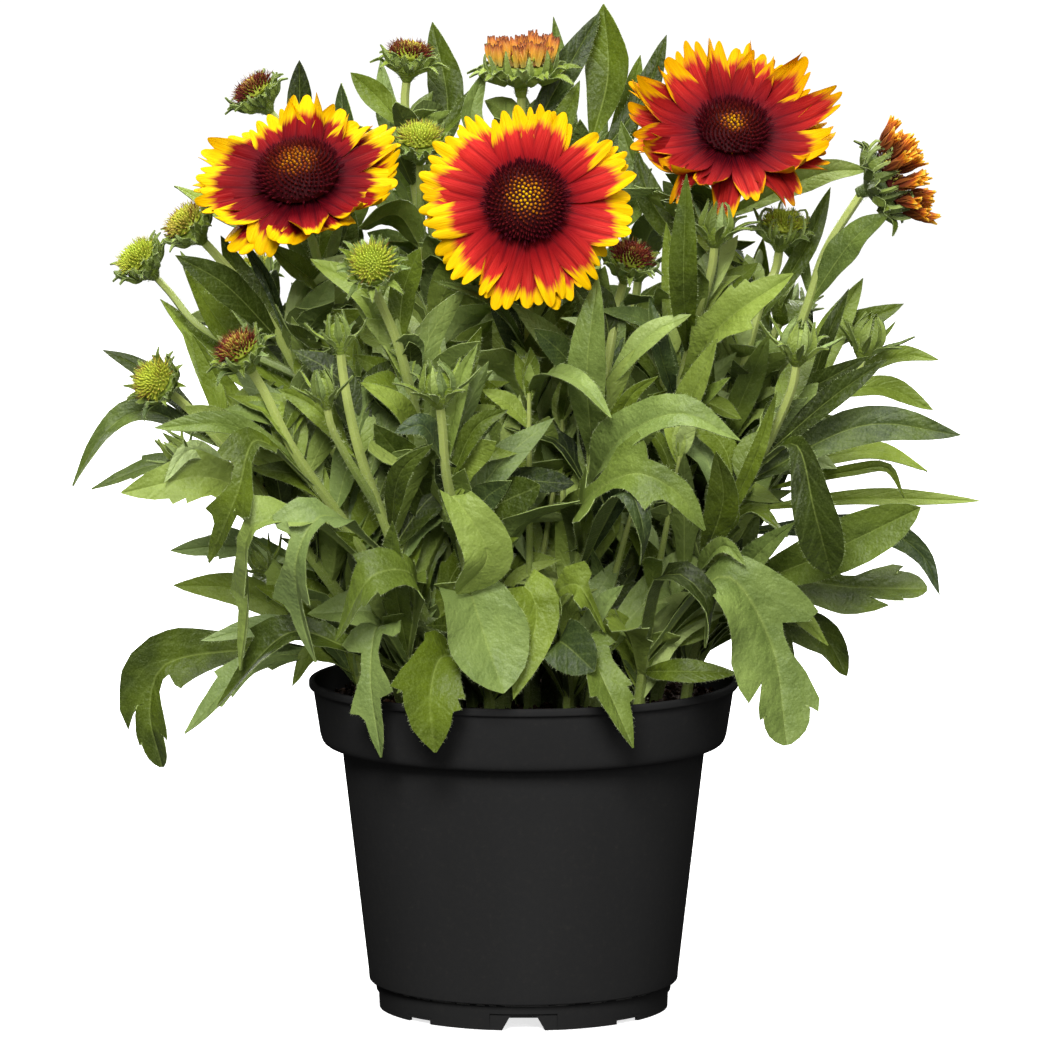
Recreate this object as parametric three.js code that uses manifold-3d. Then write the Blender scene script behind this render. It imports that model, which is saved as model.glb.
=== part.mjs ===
// A blanket flower (Gaillardia) in a plain nursery pot, in millimetres, +Z up.
// The origin is under the middle of the pot, on the surface that it stands on; the front is -Y.
import * as THREE from 'three';
import { mergeVertices } from 'three/addons/utils/BufferGeometryUtils.js';
import Module from 'manifold-3d';

const wasm = await Module();
wasm.setup();

/* ------------------------------------------------------------------ driving dimensions */

const POT_HEIGHT = 131;
const LIP_RADIUS = 85.2;
const COLLAR_BOTTOM = 105.5;
const COLLAR_RADIUS = 80.5;
const BODY_TOP_RADIUS = 72.2;
const BODY_FOOT_RADIUS = 61.7;
const BASE_RING_RADIUS = 59;
const BASE_RING_HEIGHT = 10;
const WALL = 1.4;
const FLOOR_UNDERSIDE = 3.6;
const POT_SIDES = 28;
const NOTCHES = 8;
const NOTCH_HEIGHT = 5.6;
const NOTCH_FOOT_WIDTH = 14.5;
const NOTCH_TOP_WIDTH = 9.7;

const SOIL_TOP = 122;
const SOIL_SIDES = 14;
const HOLE_DEPTH = 12;
const HOLE_GAP = 0.8;
const HOLE_BELOW = 1.2;

const GAP = 0.3; // between pieces that touch
const STEM_SIDES = 4;
const STEM_FOOT_RADIUS = 2.6;
const STEM_NECK_RADIUS = 1.7;
const STEM_STEP = 56;
const LEAF_KEEL = 1.1;
const ROOT_HALF_WIDTH = 0.9;
const PETAL_KEEL = 1;
const PETAL_FOOT = 8.5;
const PETAL_HELD = 16.5; // from the axis to where a petal comes out from under the disc
const PETAL_HEIGHT = 1.5;
const PETAL_LAYER_STEP = 1.7;
const BLOOM_DISC_FOOT = 4.9;

// Places are written as they line up for an eye in front of the pot, so that pieces which hide
// each other are easy to set: [across, up, depth], with across and up read on the plane through
// the pot's axis, and depth positive towards the back.
const EYE_AWAY = 2760;
const EYE_UP = 530;

const COLOURS = {
  plastic: 0x1c1c1c,
  peat: 0x2a1a12,
  leaf: 0x75894a,
  red: 0xb02430,
  orange: 0xd9772a,
  disc: 0x4a1820,
  button: 0xa8a030,
};

/* ------------------------------------------------------------------ small helpers */

const UP = new THREE.Vector3(0, 0, 1);

// A seeded random draw, so that the plant grows alike each time.
function dice(seed) {
  let state = seed >>> 0;
  return () => {
    state = (state + 0x6d2b79f5) >>> 0;
    let mix = Math.imul(state ^ (state >>> 15), state | 1);
    mix = (mix + Math.imul(mix ^ (mix >>> 7), mix | 61)) ^ mix;
    return ((mix ^ (mix >>> 14)) >>> 0) / 4294967296;
  };
}

function place([across, up, depth]) {
  const spread = 1 + depth / EYE_AWAY;
  return new THREE.Vector3(across * spread, depth, EYE_UP - spread * (EYE_UP - up));
}

function vector(x, y, z) {
  return new THREE.Vector3(x, y, z);
}

// A closed body through rows of points that run anticlockwise round the way they go; it ends in
// a point, or in a flat cap where the end point is left out.
function loft(rows, tip) {
  const around = rows[0].length;
  const points = rows.flat().concat(tip ? [tip] : []);
  const triangles = [];
  for (let row = 0; row < rows.length - 1; row += 1) {
    for (let i = 0; i < around; i += 1) {
      const a = row * around + i;
      const b = row * around + ((i + 1) % around);
      triangles.push(a, b, b + around, a, b + around, a + around);
    }
  }
  const last = (rows.length - 1) * around;
  for (let i = 1; i < around - 1; i += 1) {
    triangles.push(0, i + 1, i);
    if (!tip) triangles.push(last, last + i, last + i + 1);
  }
  if (tip) {
    for (let i = 0; i < around; i += 1) {
      triangles.push(last + i, last + ((i + 1) % around), points.length - 1);
    }
  }
  return solid(points, triangles);
}

function solid(points, triangles) {
  const vertProperties = new Float32Array(points.flatMap((p) => [p.x, p.y, p.z]));
  const triVerts = new Uint32Array(triangles);
  return new wasm.Manifold(new wasm.Mesh({ numProp: 3, vertProperties, triVerts }));
}

function solidOf(geometry) {
  geometry.deleteAttribute('normal');
  geometry.deleteAttribute('uv');
  const merged = mergeVertices(geometry, 1e-4);
  const vertProperties = Float32Array.from(merged.attributes.position.array);
  const triVerts = Uint32Array.from(merged.index.array);
  return new wasm.Manifold(new wasm.Mesh({ numProp: 3, vertProperties, triVerts }));
}

// The pieces of one node, joined. Loose scraps and sealed hollows are left out.
function joined(pieces) {
  const whole = pieces.reduce((sum, piece) => sum.add(piece));
  const bodies = whole.decompose();
  return bodies.reduce((best, body) => (body.volume() > best.volume() ? body : best));
}

const group = new THREE.Group();

function addNode(name, body, colour, roughness) {
  const mesh = body.getMesh();
  const geometry = new THREE.BufferGeometry();
  const positions = Float32Array.from(mesh.vertProperties);
  geometry.setAttribute('position', new THREE.BufferAttribute(positions, mesh.numProp));
  geometry.setIndex(new THREE.BufferAttribute(Uint32Array.from(mesh.triVerts), 1));
  geometry.computeVertexNormals();
  const material = new THREE.MeshStandardMaterial({ color: colour, roughness, metalness: 0 });
  const node = new THREE.Mesh(geometry, material);
  node.name = name;
  group.add(node);
}

/* ------------------------------------------------------------------ what is already there */

// Every piece of every node, so that a leaf can be bent clear of what stands near it.
const standing = [];

function settle(owner, pieces) {
  pieces.forEach((piece) => standing.push({ owner, piece, box: piece.boundingBox() }));
}

function boxesMeet(one, other) {
  return [0, 1, 2].every((i) => one.min[i] < other.max[i] && other.min[i] < one.max[i]);
}

// A leaf is clear when all of it misses the other nodes, and its outer part its own node too.
function isClear(owner, whole, outer) {
  const box = whole.boundingBox();
  return standing.every((other) => {
    const piece = other.owner === owner ? outer : whole;
    return !boxesMeet(box, other.box) || piece.intersect(other.piece).isEmpty();
  });
}

/* ------------------------------------------------------------------ pot and soil */

function potProfile() {
  const floor = FLOOR_UNDERSIDE + WALL;
  return [
    [0, FLOOR_UNDERSIDE], [BASE_RING_RADIUS - 1 - WALL, FLOOR_UNDERSIDE],
    [BASE_RING_RADIUS - 1 - WALL, 0], [BASE_RING_RADIUS - 1, 0],
    [BASE_RING_RADIUS, BASE_RING_HEIGHT], [BODY_FOOT_RADIUS, BASE_RING_HEIGHT + 4],
    [BODY_TOP_RADIUS, COLLAR_BOTTOM - 0.5], [COLLAR_RADIUS - 2, COLLAR_BOTTOM],
    [COLLAR_RADIUS, COLLAR_BOTTOM + 2.6], [LIP_RADIUS - 1.6, POT_HEIGHT - 3.4],
    [LIP_RADIUS, POT_HEIGHT - 2], [LIP_RADIUS - 0.6, POT_HEIGHT], [LIP_RADIUS - 2.2, POT_HEIGHT],
    [COLLAR_RADIUS - WALL, COLLAR_BOTTOM + 3], [BODY_TOP_RADIUS - WALL, COLLAR_BOTTOM + 1],
    [BODY_FOOT_RADIUS - WALL, BASE_RING_HEIGHT + 5], [BASE_RING_RADIUS - 1 - WALL, BASE_RING_HEIGHT],
    [BASE_RING_RADIUS - 1 - WALL, floor], [0, floor],
  ];
}

function latheOf(profile, sides) {
  const points = profile.map(([radius, height]) => new THREE.Vector2(radius, height));
  const lathe = new THREE.LatheGeometry(points, sides);
  lathe.rotateX(Math.PI / 2);
  return solidOf(lathe);
}

function notchCutter(angle) {
  const outline = new THREE.Shape([
    new THREE.Vector2(-NOTCH_FOOT_WIDTH / 2 - 0.4, -1), new THREE.Vector2(NOTCH_FOOT_WIDTH / 2 + 0.4, -1),
    new THREE.Vector2(NOTCH_TOP_WIDTH / 2, NOTCH_HEIGHT), new THREE.Vector2(-NOTCH_TOP_WIDTH / 2, NOTCH_HEIGHT),
  ]);
  const cutter = new THREE.ExtrudeGeometry(outline, { depth: 16, bevelEnabled: false });
  cutter.rotateX(Math.PI / 2);
  cutter.translate(0, -BASE_RING_RADIUS + 10, 0);
  cutter.rotateZ(angle);
  return solidOf(cutter);
}

function makePot() {
  let pot = latheOf(potProfile(), POT_SIDES);
  for (let i = 0; i < NOTCHES; i += 1) {
    pot = pot.subtract(notchCutter((i * 2 * Math.PI) / NOTCHES));
  }
  return pot;
}

// The root ball: it follows the inside of the pot.
function makeSoil() {
  const foot = FLOOR_UNDERSIDE + WALL + GAP;
  const inside = WALL + 1;
  return latheOf([
    [0, foot], [BASE_RING_RADIUS - 1 - inside, foot], [BASE_RING_RADIUS - 1 - inside, BASE_RING_HEIGHT + 2],
    [BODY_FOOT_RADIUS - inside, BASE_RING_HEIGHT + 6], [BODY_TOP_RADIUS - inside, COLLAR_BOTTOM + 2.6],
    [COLLAR_RADIUS - inside, COLLAR_BOTTOM + 5], [COLLAR_RADIUS - 0.8, SOIL_TOP], [0, SOIL_TOP],
  ], SOIL_SIDES);
}

/* ------------------------------------------------------------------ stems */

function curveOf(points) {
  return new THREE.CatmullRomCurve3(points, false, 'centripetal');
}

// Where a curve first reaches a height.
function pointAtHeight(curve, height) {
  const steps = 200;
  for (let i = 0; i <= steps; i += 1) {
    const point = curve.getPoint(i / steps);
    if (point.z >= height) return point;
  }
  return curve.getPoint(1);
}

function tube(curve, footRadius, neckRadius, sides) {
  const spans = Math.max(2, Math.round(curve.getLength() / STEM_STEP));
  const rows = [];
  let side = vector(1, 0, 0);
  for (let i = 0; i <= spans; i += 1) {
    const along = i / spans;
    const centre = curve.getPointAt(along);
    const ahead = curve.getTangentAt(along);
    side = side.clone().addScaledVector(ahead, -side.dot(ahead)).normalize();
    const other = ahead.clone().cross(side);
    const radius = THREE.MathUtils.lerp(footRadius, neckRadius, along);
    rows.push(Array.from({ length: sides }, (_, k) => {
      const turn = (k * 2 * Math.PI) / sides;
      return centre.clone()
        .addScaledVector(side, radius * Math.cos(turn))
        .addScaledVector(other, radius * Math.sin(turn));
    }));
  }
  return loft(rows);
}

/* ------------------------------------------------------------------ leaves */

// Each outline: how far along the midrib, and half the width there to the left and the right, as
// shares of the leaf's half width. The last column sweeps both edges on towards the tip.
const OUTLINES = {
  lance: [[0, 1, 1, 0], [0.3, 0.72, 0.72, 0], [0.6, 1, 1, 0], [0.84, 0.6, 0.6, 0]],
  spoon: [[0, 1, 1, 0], [0.4, 0.5, 0.5, 0], [0.7, 1, 1, 0], [0.9, 0.72, 0.72, 0]],
  toothed: [
    [0, 1, 1, 0], [0.3, 0.4, 0.4, 0], [0.44, 1, 0.62, 0.07], [0.56, 0.56, 0.62, 0],
    [0.66, 0.66, 1, 0.07], [0.76, 0.74, 0.56, 0.05], [0.86, 0.44, 0.44, 0],
  ],
  cut: [
    [0, 1, 1, 0], [0.22, 0.2, 0.2, 0], [0.36, 0.95, 0.25, 0.09], [0.46, 0.28, 0.95, 0.08],
    [0.56, 0.3, 0.28, 0], [0.66, 0.95, 0.4, 0.08], [0.76, 0.34, 0.8, 0.06], [0.86, 0.3, 0.3, 0],
  ],
  ribbon: [[0, 1, 1, 0], [0.4, 0.95, 0.95, 0], [0.75, 1, 0.9, 0]],
  grown: [[0, 1, 1, 0], [0.42, 0.92, 0.92, 0], [0.76, 0.82, 0.82, 0]],
};

// A blade along a midrib, flat above and keeled below, its face turned towards a given way.
function bladeRows(points, width, outline, face, swell) {
  const curve = curveOf(points);
  const chord = points[points.length - 1].clone().sub(points[0]);
  const across = chord.clone().cross(face).normalize();
  const length = curve.getLength();
  return OUTLINES[outline].map(([along, left, right, sweep]) => {
    const centre = curve.getPointAt(along);
    const ahead = curve.getTangentAt(along);
    const side = across.clone().addScaledVector(ahead, -across.dot(ahead)).normalize();
    const above = side.clone().cross(ahead);
    const half = along > 0 ? width / 2 : ROOT_HALF_WIDTH;
    const edge = (share, way) => centre.clone()
      .addScaledVector(side, way * (half * share + swell))
      .addScaledVector(ahead, sweep * length * Math.max(0, share - 0.5))
      .addScaledVector(above, swell);
    const keel = centre.clone().addScaledVector(above, -LEAF_KEEL - swell);
    return [edge(right, 1), keel, edge(left, -1)];
  });
}

// The leaf, where it stands clear of its neighbours by a small gap, or nothing.
function clearBlade(owner, points, width, outline, face) {
  const tip = points[points.length - 1];
  const fat = bladeRows(points, width, outline, face, GAP);
  if (!isClear(owner, loft(fat, tip), loft(fat.slice(1), tip))) return null;
  return loft(bladeRows(points, width, outline, face, 0), tip);
}

// Ways to bend a hand-set leaf out of its neighbours' way: towards the back, up and across.
const BENDS = [
  [0, 0, 0], [-5, 0, 0], [5, 0, 0], [-10, 0, 0], [10, 0, 0], [-16, 0, 0], [16, 0, 0],
  [0, 5, 0], [0, -5, 0], [-8, 5, 0], [8, 5, 0], [-8, -5, 0], [8, -5, 0], [-24, 0, 0], [24, 0, 0],
  [0, 3, 6], [0, 3, -6], [-12, -3, 6], [12, -3, -6], [12, 3, 6], [-12, 3, -6], [-34, 0, 0], [34, 0, 0],
];

// Ways to turn a leaf that grows by rule: round its stem and up, in degrees.
const TURNS = [
  [0, 0], [16, 0], [-16, 0], [0, 14], [0, -14], [32, 0], [-32, 0], [16, 14], [-16, 14], [16, -14],
  [-16, -14], [48, 8], [-48, 8], [30, -22], [-30, -22], [0, 28], [64, 0], [-64, 0], [90, 20], [-90, 20],
];

function bentPoints(root, way, [back, up, across]) {
  const count = way.length;
  return [root].concat(way.map(([x, z, y], i) => {
    const share = (i + 1) / count;
    return place([x + across * share, z + up * share, y + back * share]);
  }));
}

function handLeaf(owner, curve, [height, outline, width, ...way]) {
  const root = pointAtHeight(curve, height);
  const face = vector(0, -0.88, 0.47);
  for (const bend of BENDS) {
    const leaf = clearBlade(owner, bentPoints(root, way, bend), width, outline, face);
    if (leaf) return leaf;
  }
  return null;
}

// A leaf grown by rule: out from its root, arching over, in two straight reaches.
function archPoints(root, heading, rise, length, fall) {
  const out = vector(Math.cos(heading), Math.sin(heading), 0);
  const reach = (from, angle) => from.clone()
    .addScaledVector(out, (length / 2) * Math.cos(angle))
    .addScaledVector(UP, (length / 2) * Math.sin(angle));
  const middle = reach(root, rise);
  return [root, middle, reach(middle, rise - fall)];
}

function ruleLeaf(owner, curve, grown) {
  const { height, outline, width, heading, rise, length, fall, lean } = grown;
  const root = pointAtHeight(curve, height);
  for (const [turn, lift] of TURNS) {
    const way = heading + THREE.MathUtils.degToRad(turn);
    const steep = rise + THREE.MathUtils.degToRad(lift);
    const points = archPoints(root, way, steep, length, fall);
    const face = vector(Math.cos(way) * 0.3, Math.sin(way) * 0.3 + lean, 1);
    const leaf = clearBlade(owner, points, width, outline, face);
    if (leaf) return leaf;
  }
  return null;
}

// Leaves of one stem that grow by rule, each a golden angle on from the last one, but kept on
// the side that looks away from the plant's middle.
const GOLDEN_ANGLE = 2.39996;

function grownLeaves(seed, from, to, count, long, curve) {
  const roll = dice(seed);
  const middle = curve.getPoint(0.5);
  const outward = Math.atan2(middle.y, middle.x);
  return Array.from({ length: count }, (_, i) => {
    const share = count > 1 ? i / (count - 1) : 0;
    const turn = ((i * GOLDEN_ANGLE + roll() * 0.6) % (2 * Math.PI)) - Math.PI;
    const young = roll();
    const dip = roll();
    return {
      height: THREE.MathUtils.lerp(from, to, share),
      outline: 'grown',
      width: (14 + 5 * roll()) * (1 - 0.25 * share),
      heading: outward + turn * 0.62,
      rise: 0.75 + 0.5 * young,
      length: long * (1 - 0.3 * share) * (0.85 + 0.3 * roll()),
      fall: 0.6 + 0.8 * dip,
      lean: (middle.y > 12 ? 1 : -1) * (0.4 + 1.2 * roll()),
    };
  });
}

/* ------------------------------------------------------------------ heads */

// Sizes of each kind of head: the cup's radius, its depth, how many bracts it has, how far they
// reach and how high their tips stand against the top of the cup.
const HEADS = {
  bloom: { cup: 11, depth: 12, bracts: 10, reach: 20, tip: -5 },
  opening: { cup: 10, depth: 12, bracts: 11, reach: 18.5, tip: -1.5 },
  button: { cup: 7.6, depth: 9, bracts: 8, reach: 14.5, tip: 1.5 },
  bud: { cup: 6.2, depth: 9, bracts: 8, reach: 10.5, tip: 7 },
  small: { cup: 4.2, depth: 7, bracts: 6, reach: 7.5, tip: 7 },
};

// Turns a point in a head's own frame, whose +Z is the way the head looks, to its place.
function headFrame(head) {
  const axis = vector(...head.looks).normalize();
  const turn = new THREE.Quaternion().setFromUnitVectors(UP, axis);
  const centre = place(head.at);
  return {
    axis,
    centre,
    put: (x, y, z) => vector(x, y, z).applyQuaternion(turn).add(centre),
  };
}

function ringOf(frame, count, radius, height, start = 0) {
  return Array.from({ length: count }, (_, i) => {
    const turn = start + (i * 2 * Math.PI) / count;
    return frame.put(radius * Math.cos(turn), radius * Math.sin(turn), height);
  });
}

// A ring of points that stand out and lie back in turn.
function starOf(frame, arms, arm, gap) {
  return Array.from({ length: arms * 2 }, (_, i) => {
    const turn = (-i * Math.PI) / arms;
    const [radius, height] = i % 2 ? gap : arm(i / 2);
    return frame.put(radius * Math.cos(turn), radius * Math.sin(turn), height);
  });
}

// A cup with its bracts: its arms leave the cup's side, bend and end in points. The cup starts
// at a point inside the stem.
function calyx(head) {
  const size = HEADS[head.kind];
  const frame = headFrame(head);
  const closed = head.kind === 'bud' || head.kind === 'small';
  const middle = ((size.cup + size.reach) / 2) * 0.86;
  const rim = closed ? size.cup * 0.75 : size.cup;
  const rimHeight = closed ? size.tip * 0.45 : -GAP;
  const long = (i) => (i % 2 ? 0.86 : 1);
  return loft([
    starOf(frame, size.bracts, () => [rim * 1.04, rimHeight], [rim, rimHeight]),
    starOf(frame, size.bracts, (i) => [size.reach * long(i), size.tip], [size.cup, rimHeight - 1.2]),
    starOf(frame, size.bracts, () => [middle, -size.depth * 0.42], [size.cup * 0.8, -size.depth * 0.5]),
  ], frame.put(0, 0, -size.depth - 1));
}

// The outline of one petal, from its foot round its three rounded fingers and back, and two
// keel points below it. Lift raises the end, roll turns it about its length, and fold closes it
// like a gutter.
function petalPoints(frame, { turn, height, radius, width, lift, roll, fold }) {
  const at = ([share, side], drop) => {
    const reach = PETAL_FOOT + (radius - PETAL_FOOT) * share;
    const free = Math.max(0, (reach - PETAL_HELD) / (radius - PETAL_HELD));
    const tilt = roll * free;
    const across = side * (width / 2) * (1 - fold * free * 0.5);
    const rise = Math.abs(side) * fold * free * width * 0.4 + lift * free * free;
    const sideways = across * Math.cos(tilt);
    return frame.put(
      reach * Math.cos(turn) - sideways * Math.sin(turn),
      reach * Math.sin(turn) + sideways * Math.cos(turn),
      height + rise + across * Math.sin(tilt) - drop,
    );
  };
  const outline = [
    [0, -0.3], [0.5, -0.82], [0.92, -0.86], [0.8, -0.36], [1, 0.02], [0.81, 0.38], [0.93, 0.84],
    [0.5, 0.82], [0, 0.3],
  ];
  return {
    top: outline.map((spot) => at(spot, 0)),
    keel: [at([0.3, 0], PETAL_KEEL), at([0.78, 0], PETAL_KEEL)],
    foot: [at([0, -0.3], PETAL_KEEL), at([0, 0.3], PETAL_KEEL)],
  };
}

const PETAL_FACES = [[0, 1, 7], [0, 7, 8], [1, 2, 3], [1, 3, 7], [3, 5, 7], [3, 4, 5], [5, 6, 7]];

// One layer of petals: a thin plate whose edge runs round every petal.
function petalLayer(frame, petals) {
  const points = [];
  const triangles = [];
  const tops = [];
  const feet = [];
  petals.forEach((petal) => {
    const { top, keel, foot } = petalPoints(frame, petal);
    const start = points.length;
    points.push(...top, ...keel, ...foot);
    const [near, far, footRight, footLeft] = [9, 10, 11, 12];
    const faces = PETAL_FACES.concat([
      [1, 0, near], [0, footRight, near], [footRight, footLeft, near], [footLeft, 8, near],
      [8, 7, near], [1, near, far], [7, far, near],
      [2, 1, far], [3, 2, far], [4, 3, far], [5, 4, far], [6, 5, far], [7, 6, far],
    ]);
    faces.forEach((face) => triangles.push(...face.map((i) => start + i)));
    tops.push(start, start + 8);
    feet.push(start + footRight, start + footLeft);
  });
  const count = tops.length;
  for (let i = 1; i < count; i += 2) {
    const next = (i + 1) % count;
    triangles.push(tops[i], feet[i], feet[next], tops[i], feet[next], tops[next]);
  }
  for (let i = 1; i < count - 1; i += 1) {
    triangles.push(tops[0], tops[i], tops[i + 1], feet[0], feet[i + 1], feet[i]);
  }
  return solid(points, triangles);
}

// The petals stand in two layers, held together by a hub under the disc.
function petalRing(head) {
  const frame = headFrame(head);
  const roll = dice(head.seed);
  const layers = [[], []];
  for (let i = 0; i < head.petals; i += 1) {
    const upper = i % 2;
    const wild = roll() < head.wild;
    const stir = roll() - 0.5;
    layers[upper].push({
      turn: ((i + 0.24 * stir) * 2 * Math.PI) / head.petals,
      height: PETAL_HEIGHT + PETAL_LAYER_STEP * upper,
      radius: head.radius * (0.95 + 0.07 * roll() - 0.03 * upper),
      width: head.radius * (0.36 + 0.05 * roll()),
      lift: head.lift + 1.4 * upper,
      roll: wild ? (stir > 0 ? 0.7 : -0.7) : 0.1 * stir,
      fold: wild ? 0.55 : 0.1,
    });
  }
  const hub = loft([ringOf(frame, 3, 5, 1, 0.5), ringOf(frame, 3, 5, 2.7, 0.5)]);
  return [hub].concat(layers.map((layer) => petalLayer(frame, layer)));
}

// A dome of florets: rings of points that stand high and low in turn, as spirals do.
function floretDome(frame, { radius, height, foot, rings, around, spike }) {
  const rows = [ringOf(frame, around, radius * 0.8, foot)];
  for (let ring = 0; ring <= rings; ring += 1) {
    const share = ring / (rings + 0.6);
    const angle = share * (Math.PI / 2);
    const row = [];
    for (let i = 0; i < around; i += 1) {
      const turn = ((i + ring / 2) * 2 * Math.PI) / around;
      const stand = (i + ring) % 2 ? spike * (1 - 0.6 * share) : 0;
      const out = (radius + stand) * Math.cos(angle);
      row.push(frame.put(
        out * Math.cos(turn),
        out * Math.sin(turn),
        foot + 1.4 + (height + stand * 0.7) * Math.sin(angle),
      ));
    }
    rows.push(row);
  }
  return loft(rows, frame.put(0, 0, foot + 1.4 + height * 0.98));
}

function bloomDisc(head) {
  return [floretDome(headFrame(head), {
    radius: head.disc, height: head.disc * 0.5, foot: BLOOM_DISC_FOOT, rings: 3, around: 14, spike: 1.6,
  })];
}

function buttonDisc(head) {
  return [floretDome(headFrame(head), {
    radius: 6.8, height: 4.2, foot: 0, rings: 2, around: 6, spike: 1,
  })];
}

// Short rays that still stand up, rolled, round a low dome.
function openingRays(head) {
  const frame = headFrame(head);
  const roll = dice(head.seed);
  const rays = Array.from({ length: 14 }, () => ({
    reach: head.spread * (0.85 + 0.3 * roll()),
    tall: head.tall * (0.8 + 0.4 * roll()),
  }));
  return [loft([
    starOf(frame, rays.length, () => [6.6, 0.2], [6.4, 0.2]),
    starOf(frame, rays.length, (i) => [rays[i].reach * 1.06, rays[i].tall * 0.55], [7.4, 1.8]),
    starOf(frame, rays.length, (i) => [rays[i].reach, rays[i].tall], [7.2, 3.2]),
    starOf(frame, rays.length, () => [6.4, 3.6], [6, 3.6]),
  ].map((row) => row.reverse()), frame.put(0, 0, 6.4))];
}

/* ------------------------------------------------------------------ the plant, stem by stem */

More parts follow.
